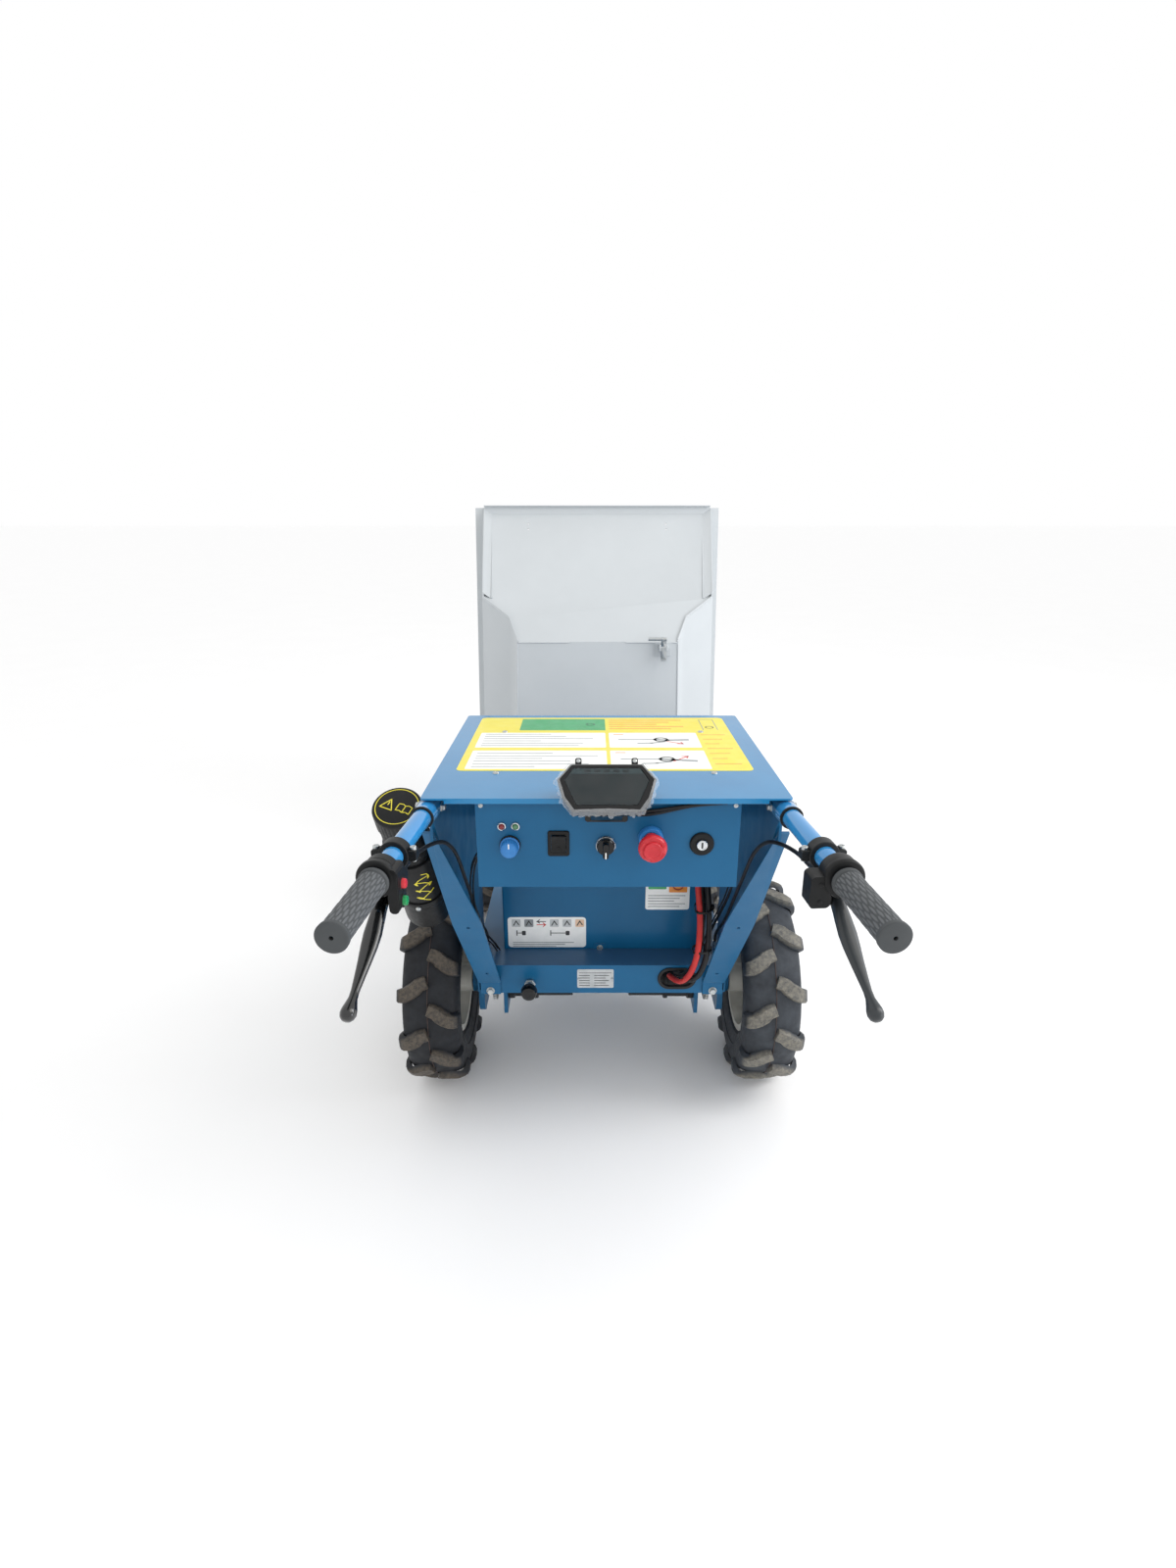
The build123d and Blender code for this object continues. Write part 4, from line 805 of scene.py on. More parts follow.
@dataclass
class Wheels:
    """Four bar-tread tyres on steel rims, with their hubs and axles."""

    radius: float = AXLE_Z
    track: float = 335.0
    wheelbase: float = WHEELBASE
    bars: int = 12
    bolt_circle: float = 45.0

    def bar(self) -> Shape:
        """Returns one tread bar of the right-hand row, standing on top of the wheel."""
        stations = ((1.2, 0, 206.2, 11.5, 14), (9, 2.6, 207.4, 12, 14.6), (17, 6.4, 207.5, 12.2, 15.2),
                    (24, 14, 207.4, 12.8, 16), (34, 20.6, 206.8, 13.2, 16.4), (43, 25, 205, 13.4, 16.6),
                    (50, 27, 202.4, 13.4, 16.4), (56, 28, 198.4, 13, 16), (60, 28.6, 191, 12, 15),
                    (61, 28.8, 181, 10.2, 13), (58.4, 29, 171, 7, 10))
        rings = []
        for i, (x, s, top, half_top, half_foot) in enumerate(stations):
            before, after = stations[max(i - 1, 0)], stations[min(i + 1, len(stations) - 1)]
            way = Vector((after[0] - before[0], after[1] - before[1])).normalized()
            share = min(1.0, max(0.0, (x - 36) / 14))
            side = Vector((-way.y, way.x)).lerp(Vector((0, 1)), share).normalized()
            sink = (x - 7 * share, top - 15 + 5 * share)
            section = ((-half_foot, *sink), (-half_top - 0.6, x, top - 3), (-half_top + 1.6, x, top),
                       (half_top - 1.6, x, top), (half_top + 0.6, x, top - 3), (half_foot, *sink))
            ring = []
            for w, px, r in section:
                turn = (s + side.y * w) / self.radius
                ring.append((px + side.x * w, -r * sin(turn), r * cos(turn)))
            rings.append(ring)
        bar = Shape()
        bar.skin(rings)
        return bar

    def carcass(self, centre: Vector) -> Shape:
        """Returns the tyre's body with its mould line, shoulders and sidewall ribs."""
        half = [(196.8, 0), (195.9, 1.1), (195.3, 12), (193.8, 25), (190.6, 37), (187.2, 45), (182.6, 50),
                (176, 52.8), (166, 54.4), (156, 55), (148, 54.6), (141.5, 53.4), (140.6, 54.4), (138.8, 54.4),
                (138, 52.4), (132, 50.6), (124, 47.5), (120.6, 45.6), (119.6, 46.2), (117.8, 45.4),
                (117, 43.2), (113.4, 39.6), (112.6, 38.2), (104, 37.6), (103.4, 31), (106, 30), (126, 39),
                (150, 44), (172, 42), (184, 28), (187, 0)]
        profile = half + [(r, -x) for r, x in half[-2:0:-1]]
        body = Shape()
        place = placed(centre, (0, 1, 0), (1, 0, 0))
        body.turned(profile, place, steps=120, closed=True)
        body.turned([(196, -0.7), (197.4, -0.4), (197.4, 0.4), (196, 0.7)], place, 1, 120, True)
        return body

    def centre(self, end: str, side: Side) -> Vector:
        """Returns a wheel's centre."""
        return Vector((side.value * self.track, self.wheelbase if end == "front" else 0.0, self.radius))

    def tyre(self, end: str, side: Side, rubber: Finish, bars: Finish) -> None:
        """Builds one tyre: its body and two staggered rows of bars."""
        name, body = f"tyre_{end}_{side.name.lower()}", f"wheel_{end}_{side.name.lower()}"
        centre = self.centre(end, side)
        self.carcass(centre).piece(f"{name}_body", "tyre_rubber", [rubber, MOULD_LINE], replaces=[name], body=body)
        marks = []
        for row, lag in ((1, 0.0), (-1, 0.5)):
            for i in range(self.bars):
                turn = Matrix.Rotation(radians(180 + (i + lag) * 360 / self.bars), 4, "X")
                # the left-hand tyres are the mirror image of the right-hand ones
                flip = Matrix.Scale(row * side.value, 4, (1, 0, 0))
                marks.append(Matrix.Translation(centre) @ turn @ flip)
        COPIES.spread(f"{name}_bars", self.bar(), marks, body, "tyre_rubber", bars)

    def rim(self, end: str, side: Side) -> None:
        """Dresses one rim and adds its bolts and valve."""
        name = f"wheel_{end}_{side.name.lower()}"
        refined(name, RIM_SILVER, 1.2)
        centre = self.centre(end, side)
        face = placed(centre, (0, 1, 0), (side.value, 0, 0))
        bolt = Shape()
        bolt.turned([(0, 7.4), (6, 7.4), (7.2, 6.4), (7.4, 1), (10.5, 0.8), (10.5, -0.3), (0, -0.3)], Matrix(),
                    steps=12)
        marks = [face @ Matrix.Rotation(radians(45 + 90 * i), 4, "Z")
                 @ Matrix.Translation((self.bolt_circle, 0, 0)) for i in range(4)]
        COPIES.spread(f"{name}_bolts", bolt, marks, name, "rim_paint", ZINC)
        valve = Shape()
        stem = face @ placed((0, 86, 2), (1, 0, 0), (0, 0.35, 1))
        valve.turned([(0, 26), (3.2, 25.6), (3.6, 24), (3.6, 17), (2.6, 16.4), (2.6, 6), (4.4, 5), (5, -9),
                      (0, -9)], stem, steps=20)
        valve.piece(f"{name}_valve", "rim_paint", [STOP], body=name)

    def build(self) -> None:
        """Builds all four."""
        for end, y in (("rear", 0.0), ("front", self.wheelbase)):
            # The right-hand tyres get lighter rubber, grey tone and scuffed colours than the left-hand ones: painted
            # light on the right and painted shade on the left, as the light falls from the right.
            for side, colour, bloom, scuffed in ((Side.LEFT, "#191a1d", "#25282d", "#5a5248"),
                                                 (Side.RIGHT, "#2c2f34", "#40454b", "#7d796f")):
                rubber = Rubber(f"tyre rubber, {side.name.lower()}", colour, bloom)
                bars = TreadRubber(f"tread rubber, {end} {side.name.lower()}", colour, bloom, scuffed=scuffed,
                                   axle=(y, self.radius))
                self.tyre(end, side, rubber, bars)
                self.rim(end, side)


@dataclass
class Drive:
    """Gearmotors and the roller chains that carry the drive to the front wheels."""

    chain_x: float = 225.0
    pitch: float = 12.64
    chain_radius: float = 44.5
    wheelbase: float = WHEELBASE
    axle_z: float = AXLE_Z

    def link(self) -> Shape:
        """Returns one link: two plates and a roller."""
        link = Shape()
        waist = [(cos(t) * 3 + (5.6 if cos(t) > 0 else -5.6), sin(t) * 2.8)
                 for t in (2 * pi * (k + 0.5) / 10 for k in range(10))]
        for z in ((2.4, 3.6), (-3.6, -2.4)):
            link.prism(waist, z, Matrix())
        link.turned([(0, 2.6), (2.5, 2.6), (2.5, -2.6), (0, -2.6)], Matrix(), steps=8)
        return link

    def build(self) -> None:
        """Builds the chains and dresses the motors."""
        straight, bend = self.wheelbase, pi * self.chain_radius
        count = round(2 * (straight + bend) / self.pitch)
        marks = []
        for side in Side:
            for i in range(count):
                s = i / count * 2 * (straight + bend)
                if s < straight:
                    y, z, lean = s, self.chain_radius, 0.0
                elif s < straight + bend:
                    lean = -(s - straight) / self.chain_radius
                    y, z = straight - self.chain_radius * sin(lean), self.chain_radius * cos(lean)
                elif s < 2 * straight + bend:
                    y, z, lean = 2 * straight + bend - s, -self.chain_radius, pi
                else:
                    lean = pi - (s - 2 * straight - bend) / self.chain_radius
                    y, z = -self.chain_radius * sin(lean), self.chain_radius * cos(lean)
                place = placed((side.value * self.chain_x, y, self.axle_z + z),
                               (0, cos(lean), sin(lean)), (1, 0, 0))
                marks.append(place)
        COPIES.spread("roller_chains", self.link(), marks, "chassis", "zinc_steel", ZINC,
                      replaces=["drive_chains"])
        refined("gearmotors", MOTOR_BLACK, 1.0)


# ---- chassis and console


@dataclass
class Body:
    """Welded chassis and sheet-metal console: every plate is the CAD plate with its edges broken."""

    blue: tuple[str, ...] = ("frame_rail_left", "frame_rail_right", "deck_plate", "rear_plate",
                             "frame_brackets", "brace_left", "brace_right", "control_panel")
    # These plates get the darker copy of the blue as painted shade.
    blue_in_painted_shade: tuple[str, ...] = ("console_side_left", "console_side_right", "console_front", "battery_box")

    def build(self) -> None:
        """Dresses the plates and what they carry."""
        for node in self.blue:
            refined(node, BLUE, 0.9)
        for node in self.blue_in_painted_shade:
            refined(node, BLUE_PAINTED_SHADE, 0.9)
        refined("top_cover", BLUE_GLOSS, 1.4)
        refined("pivot_shaft", ZINC, 0.8)
        refined("battery_pack", DARK_GREY, 2.5)
        refined("motor_controller", ALUMINIUM, 0.6)
        refined("rubber_parts", STOP, 1.0)


class Label:
    """A printed label: a film with blocks and line drawings laid on it in thin steps."""

    def __init__(self, place: Matrix, outline: Outline) -> None:
        """Cuts the film to its outline, on the local plane."""
        self.place = place
        self.shape = Shape()
        self.shape.prism(outline, (0.02, 0.3), place, 0)

    def patch(self, x: tuple, y: tuple, ink: int, radius: float = 1.0) -> None:
        """Prints a block with round corners."""
        self.shape.prism(rounded(x, y, radius, 3), (0.1, 0.42), self.place, ink)

    def line(self, points: Outline, width: float, ink: int, step: int = 2) -> None:
        """Prints a line."""
        self.shape.stroke(points, width, (0.1, 0.3 + 0.12 * step), self.place, ink)

    def ring(self, centre: tuple[float, float], radius: float, width: float, ink: int) -> None:
        """Prints a circle."""
        turns = [radians(18 * i) for i in range(21)]
        self.line([(centre[0] + radius * cos(t), centre[1] + radius * sin(t)) for t in turns], width, ink)

    def done(self, name: str, slot: str, inks: Sequence[Finish]) -> None:
        """Makes the piece."""
        self.shape.piece(name, slot, inks)


@dataclass
class CoverLabel:
    """The large yellow operating label on the cover, with generic line drawings and no lettering."""

    left: float = -228.0
    right: float = 228.0
    near: float = -330.0
    far: float = -8.0
    cover_top: float = COVER_TOP

    def handle_drawing(self, label: Label, x: float, y: float, flip: int) -> None:
        """Draws a handle with its lever and an arrow."""
        label.line([(x - 76, y + 6), (x - 14, y + 6)], 3.6, 3)
        label.line([(x - 14, y + 6), (x + 6, y + 2), (x + 40, y + 4 * flip)], 7.5, 3)
        label.ring((x - 4, y + 5), 11, 3.4, 3)
        label.line([(x, y - 8), (x - 22, y - 16), (x - 44, y - 18)], 4.2, 3)
        label.line([(x + 6, y - 6), (x + 30, y - 20 * flip)], 2.6, 4)
        label.line([(x + 22, y - 20 * flip), (x + 31, y - 21 * flip), (x + 29, y - 12 * flip)], 2.6, 4)

    def build(self) -> None:
        """Builds the label."""
        place = placed((0, 0, self.cover_top))
        label = Label(place, rounded((self.left, self.right), (self.near, self.far), 10, 6))
        label.patch((-150, 5), (-98, -18), 5)
        label.ring((-22, -58), 7, 1.6, 3)
        for i in range(5):
            label.line([(14, -27 - 15 * i), (146 - 24 * (i % 3), -27 - 15 * i)], 4.2, 6, 1)
        label.line([(182, -94), (182, -24), (208, -24), (208, -94)], 1.4, 3, 1)
        label.ring((195, -78), 7, 1.6, 3)
        for y, height in ((-207, 92), (-322, 98)):
            label.patch((-216, 4), (y, y + height), 1, radius=3)
            label.patch((10, 165), (y, y + height), 1, radius=3)
            label.line([(20, y + height - 12), (34, y + height - 12)], 3, 6)
            self.handle_drawing(label, 104, y + height * 0.46, 1 if y > -300 else -1)
            for i in range(6):
                label.line([(-206, y + 12 + 14 * i), (-60 + 50 * sin(2.3 * i + y), y + 12 + 14 * i)], 2.2, 3)
        for i in range(7):
            label.line([(174, -128 - 28 * i), (214 - 9 * (i % 3), -128 - 28 * i)], 2.4, 6, 1)
        label.done("cover_label", "blue_paint",
                   [YELLOW_INK, PALE_INK, DARK_INK, GREY_INK, RED_INK, GREEN_INK, ORANGE_INK])


@dataclass
class BoxLabels:
    """Two labels on the battery box and the data plate under it."""

    box_face: float = BOX_FACE
    plate_face: float = REAR_FACE

    def build(self) -> None:
        """Builds the labels and the plate."""
        face = rearward(0, self.box_face, 0)
        first = Label(face, rounded((-188, -31), (324.5, 393), 7))
        for i in range(6):
            x = -172 + 25.5 * i
            first.patch((x - 8, x + 10), (371, 388), (5, 3, 0, 5, 5, 6)[i], radius=2)
            if i == 2:
                first.line([(x - 8, 383), (x + 9, 383)], 1.8, 2)
                first.line([(x - 8, 376), (x + 9, 376)], 1.8, 4)
                first.line([(x - 3, 387), (x - 8, 383), (x - 3, 380)], 1.8, 2)
                first.line([(x + 4, 380), (x + 9, 376), (x + 4, 372)], 1.8, 4)
            else:
                first.line([(x - 4, 375), (x + 1, 384), (x + 6, 376)], 2.2, 2, 3)
        for x, reach in ((-160, 10), (-72, 30)):
            first.line([(x - reach, 362), (x - reach, 352)], 2, 2)
            first.line([(x - reach, 357), (x + 2, 357)], 1.6, 2)
            first.patch((x, x + 8), (352, 362), 2, radius=2)
        for i in range(3):
            first.line([(-178, 335.5 - 4.2 * i), (-56 - 18 * i, 335.5 - 4.2 * i)], 1.3, 3)
        first.done("box_label_left", "battery_case",
                   [PALE_INK, YELLOW_INK, DARK_INK, GREY_INK, RED_INK, PALE_GREY, PEACH])
        second = Label(face, rounded((87, 174), (410, 486), 5))
        second.patch((92, 128), (455, 480), 1, radius=2)
        second.patch((133, 169), (448, 480), 5, radius=2)
        second.ring((151, 464), 10, 2.6, 4)
        for i in range(5):
            second.line([(93, 441 - 6 * i), (165 - 11 * (i % 3), 441 - 6 * i)], 1.5, 3)
        second.done("box_label_right", "battery_case",
                    [PALE_INK, GREEN_INK, DARK_INK, GREY_INK, RED_INK, ORANGE_INK])
        low = rearward(0, self.plate_face, 0)
        plate = Label(low, rounded((-48, 23.5), (270, 312), 3))
        plate.line([(-44, 304), (19, 304)], 0.8, 1)
        for i in range(5):
            plate.line([(-44, 298 - 5.6 * i), (-24, 298 - 5.6 * i)], 1.2, 1)
            plate.line([(-14, 298 - 5.6 * i), (14 - 7 * (i % 2), 298 - 5.6 * i)], 1.2, 1)
        for x in (-45, 20.5):
            plate.shape.turned([(0, 2.4), (1.6, 2.1), (2.3, 1), (2.5, 0.1), (0, 0.1)], low @ placed((x, 291, 0)),
                               2, 16)
        plate.done("data_plate", "battery_case", [ALUMINIUM, DARK_INK, ZINC])


# ---- control panel


@dataclass
class Panel:
    """Lamps, knobs, switches, stop button and key on the panel."""

    face: float = PANEL_FACE
    red_lamp: tuple = (-147.4, 740.8)
    green_lamp: tuple = (-128.0, 740.8)
    speed: tuple = (-136.5, 712.0)
    rocker: tuple = (-67.6, 714.5)
    selector: tuple = (-0.7, 712.0)
    stop: tuple = (63.0, 724.0)
    key: tuple = (135.8, 714.0)

    def at(self, centre: tuple[float, float]) -> Matrix:
        """Returns the local frame of a control, z out of the panel."""
        return rearward(centre[0], self.face, centre[1])

    def fixed(self) -> None:
        """Builds the bezels, lamps, contact blocks, mounts and the gear knob's bushing."""
        shape = Shape()
        for centre, lens in ((self.red_lamp, 7), (self.green_lamp, 4)):
            place = self.at(centre)
            shape.turned([(6.4, 0), (6.4, 2), (5.7, 3), (4.6, 3.3), (4.1, 2.6), (4.1, 0)], place, 1, 36, True)
            shape.turned([(4, -6), (4, 3), (3.7, 4.6), (2.9, 6), (1.5, 7.1), (0, 7.5)], place, lens, 28)
        shape.turned([(5.2, 0), (15, 0), (15, 3), (14.2, 4), (5.2, 4)], self.at(self.speed), 0, 48, True)
        place = self.at(self.rocker)
        outer, inner = rounded((-15.5, 15.5), (-19.5, 19.5), 3.5), rounded((-10.9, 10.9), (-13.9, 13.9), 1.4)
        rise = [(x * 0.94, y * 0.95) for x, y in outer]
        shape.loft(((outer, 0), (outer, 1.4), (rise, 2.7), (inner, 2.7), (inner, 0)), place, 0, True)
        shape.turned([(9, 0), (14.7, 0), (14.7, 3.2), (13.4, 5), (12.9, 4.9), (12.7, 4), (9, 4)],
                     self.at(self.selector), 1, 60, True)
        shape.turned([(11.3, 0), (17.5, 0), (17.5, 9.6), (16.6, 11.6), (13, 12), (12.6, 11.2), (11.3, 11.2)],
                     self.at(self.stop), 2, 60, True, 0)
        shape.turned([(8.3, 0), (17.5, 0), (17.5, 2.4), (16, 4.6), (10.4, 5), (8.3, 4.4)], self.at(self.key), 0,
                     60, True)
        for centre in (self.speed, self.selector, self.stop, self.key):
            place = self.at(centre)
            shape.prism(rounded((-15, 15), (-15, 15), 3), (-46, -12), place, 0)
            for x in (-8, 8):
                shape.block((x - 3, x + 3), (-9, 9), (-49, -45.8), place, 5)
        shape.prism(rounded((-11, 11), (-15, 15), 1), (-32, -10), self.at(self.rocker), 0)
        for x in (-150, 150):
            shape.block((x - 18, x + 18), (self.face + 4, self.face + 26), (777.6, 783), Matrix(), 6)
        low = rearward(*GEAR_KNOB)
        shape.turned([(4.2, -22), (8, -22), (8, 12), (4.2, 12)], low, 5, 32, True)
        nut = ((0.1, 0.8), (0.1, 1), (6.4, 1), (7, 0.93), (7, 0.8))
        shape.loft([(hexagon(11 * k), z) for z, k in nut], low, 5, True)
        shape.piece("panel_fittings", "black_plastic", [BLACK, CHROME, KNOB_BLUE, RED, LENS_GREEN, ZINC, BLUE,
                                                        LENS_RED], 0.35, ["panel_bezels"])

    def moving(self) -> None:
        """Builds each control that moves."""
        knob, place = Shape(), self.at(self.speed)
        knob.turned([(0, 4.4), (14, 4.4), (14, 6.4), (13, 7.2), (12.6, 7.4), (12.2, 19.6), (11.4, 20.8),
                     (9.6, 21), (0, 21)], place, 0, 120, False, 24, 0.7)
        knob.turned([(0, 20.8), (10.4, 20.8), (10.4, 21.6), (9.8, 21.9), (0, 21.9)], place, 1, 48)
        knob.turned([(0, 5), (3, 5), (3, -11), (0, -11)], place, 0, 20)
        knob.block((-0.8, 0.8), (3, 10.3), (21.5, 22.2), place, 2)
        knob.piece("speed_knob_cap", "blue_plastic", [KNOB_BLUE, KNOB_BLUE, PALE_INK], 0.2, ["speed_knob"],
                   body="speed_knob")
        rocker, place = Shape(), self.at(self.rocker)
        curve = [(-13, -6), (-13, 4.4), (-12, 5.8), (-7, 4.4), (0, 3.4), (7, 4.6), (12, 6.3), (13, 5), (13, -6)]
        rocker.skin([[place @ Vector((x, y, z)) for y, z in curve] for x in (-10.4, 10.4)])
        rocker.block((-0.7, 0.7), (5, 10), (4.2, 6.0), place, 1)
        rocker.turned([(2.1, 4.2), (3, 4.2), (3, 5.3), (2.1, 5.3)], place @ placed((0, -7.5, 0)), 1, 24, True)
        rocker.piece("rocker_paddle", "black_plastic", [BLACK, DARK_GREY], 0.5, ["rocker_switch"], body="rocker")
        turn, place = Shape(), self.at(self.selector)
        turn.turned([(0, 5.4), (12.5, 5.4), (12.5, 9.6), (11.4, 11), (0, 11.2)], place, 0, 60)
        turn.turned([(0, -11), (8.6, -11), (8.6, 6), (0, 6)], place, 0, 32)
        bar, top = rounded((-4.5, 4.5), (-15, 9), 3.6), rounded((-3.6, 3.6), (-14, 8), 3.2)
        turn.loft(((bar, 10), (bar, 17), (top, 19.2)), place)
        turn.block((-0.9, 0.9), (-13.6, -4), (18.8, 19.6), place, 1)
        turn.piece("selector_lever", "black_plastic", [BLACK_GLOSS, PALE_INK], 0.3, ["selector_knob"],
                   body="selector")
        stop, place = Shape(), self.at(self.stop)
        stop.turned([(0, -4), (11, -4), (11, 32), (12.5, 34), (17.4, 34.6), (19.6, 36.2), (20.2, 39), (19.6, 42.6),
                     (17.8, 45.6), (14.6, 47.4), (13.4, 47.6), (13.1, 51), (12.2, 52.2), (9.8, 52.4), (9, 51.6),
                     (0, 51.4)], place, 0, 96)
        for i in range(3):
            arc = [radians(120 * i + 18 + 84 * k / 10) for k in range(11)]
            edge = [(14.4 * cos(t), 14.4 * sin(t)) for t in arc]
            edge += [(17.6 * cos(t), 17.6 * sin(t)) for t in reversed(arc)]
            stop.prism(edge, (43, 47.9), place)
        stop.piece("stop_mushroom", "red_plastic", [RED], 0.3, ["estop_button"], body="emergency_stop")
        key, place = Shape(), self.at(self.key)
        key.turned([(0, -11), (8, -11), (8, 6.6), (7.2, 7.8), (6, 8.1), (5.6, 7.4), (0, 7.4)], place, 0, 48)
        key.prism(rounded((-1.4, 1.4), (-4.6, 4.6), 0.6), (7, 7.6), place, 1)
        key.piece("key_lock", "zinc_steel", [CHROME, DARK_INK], 0.2, ["key_barrel"], body="key")
        gear, place = Shape(), rearward(*GEAR_KNOB)
        gear.turned([(0, -30), (4, -30), (4, 21), (0, 21)], place, 1, 24)
        gear.turned([(0, 20), (10, 20), (12.5, 21.5), (15.2, 25), (15.6, 30), (15.4, 35), (13.6, 40), (10, 42.6),
                     (5, 43.4), (0, 43.6)], place, 0, 60)
        gear.turned([(15.2, 27.4), (16.1, 28), (16.1, 29.4), (15.2, 30)], place, 0, 60, True)
        gear.piece("gear_knob_ball", "black_plastic", [BLACK_GLOSS, ZINC], 0, ["gear_knob"], body="gear_knob")

    def build(self) -> None:
        """Builds the panel's controls."""
        self.fixed()
        self.moving()


@dataclass
class Display:
    """Tilted display with its glass, tabs and the creased film left on it."""

    tilt: float = 48.0
    centre: tuple = (0.0, -465.0, 808.0)
    window: tuple = ((-46, 28), (46, 28), (58, 10), (42, -26), (-42, -26), (-58, 10))
    outline: tuple = ((-50, 35), (50, 35), (68, 12), (60, -16), (47, -35), (-47, -35), (-60, -16), (-68, 12))

    def build(self) -> None:
        """Builds the display."""
        lean = radians(self.tilt)
        place = placed(self.centre, (1, 0, 0), (0, -sin(lean), cos(lean)))
        refined("display_unit", BLACK_GLOSS, 1.6)
        screen = Shape()
        screen.prism(self.window, (-1.45, -0.7), place, 0)
        screen.prism([(-45.2, 27.4), (45.2, 27.4), (50.6, 19.6), (-50.6, 19.6)], (-0.9, -0.62), place, 1)
        for x in (-26, -13, 0, 13, 26):
            screen.prism(rounded((x - 4.4, x + 4.4), (21.6, 25.6), 1, 2), (-0.8, -0.56), place, 2)
        screen.piece("display_screen", "screen", [SCREEN, SCREEN_STRIP, SCREEN], 0, ["display_lens"])
        glass = Shape()
        glass.prism([(x * 0.985, y * 0.985) for x, y in self.window], (-0.5, -0.1), place)
        glass.piece("display_glass", "screen", [GLASS])
        screws = Shape()
        for x in (-39, 39):
            spot = place @ placed((x, 42, -8))
            screws.turned([(0, 1.9), (1.6, 1.8), (2.9, 1.2), (3.3, 0.1), (0, 0.1)], spot, 0, 24)
        screws.piece("display_tab_screws", "zinc_steel", [ZINC])
        self.film(place)
        sleeve = Shape()
        for shift in (0.0, 5.2):
            path = smooth_line([(6 + shift, -449 - shift / 3, 771), (34, -448, 765 - shift), (66, -447, 766 - shift),
                                (100, -446.6, 772 - shift / 2), (132, -446.4, 776), (168, -446.2, 777.5)])
            sleeve.tube(path, 2.3, 0, 14)
        sleeve.piece("display_cable", "cable_black", [SHEATH])

    def film(self, place: Matrix) -> None:
        """Adds a thin creased film round the display's left, right and near edges."""
        edge = [self.outline[i] for i in (0, 7, 6, 5, 4, 3, 2, 1)]
        line = []
        for (ax, ay), (bx, by) in zip(edge, edge[1:]):
            count = max(2, int(hypot(bx - ax, by - ay) / 2.2))
            line += [(ax + (bx - ax) * i / count, ay + (by - ay) * i / count) for i in range(count)]
        line.append(edge[-1])
        rings = []
        for x, y in line:
            out = Vector((x, y)).normalized()
            crease = noise.noise(Vector((x * 0.11, y * 0.11, 3.0)))
            fine = noise.noise(Vector((x * 0.42, y * 0.42, 9.0)))
            reach = 2.6 + 7 * abs(crease) + 2.5 * fine
            section = ((-3.5, 0.4), (-0.5, 0.9 + 1.0 * abs(fine)), (1.4, 0.2 + 1.8 * crease),
                       (2.0, -5 + 2 * fine), (reach, -8 - 6 * abs(crease)))
            ring = [place @ Vector((x + out.x * d, y + out.y * d, h)) for d, h in section]
            ring += [place @ Vector((x + out.x * (d + 0.12), y + out.y * (d + 0.12), h - 0.16))
                     for d, h in reversed(section)]
            rings.append(ring)
        film = Shape()
        film.skin(rings)
        film.piece("display_film", "screen", [FILM])


# ---- handles


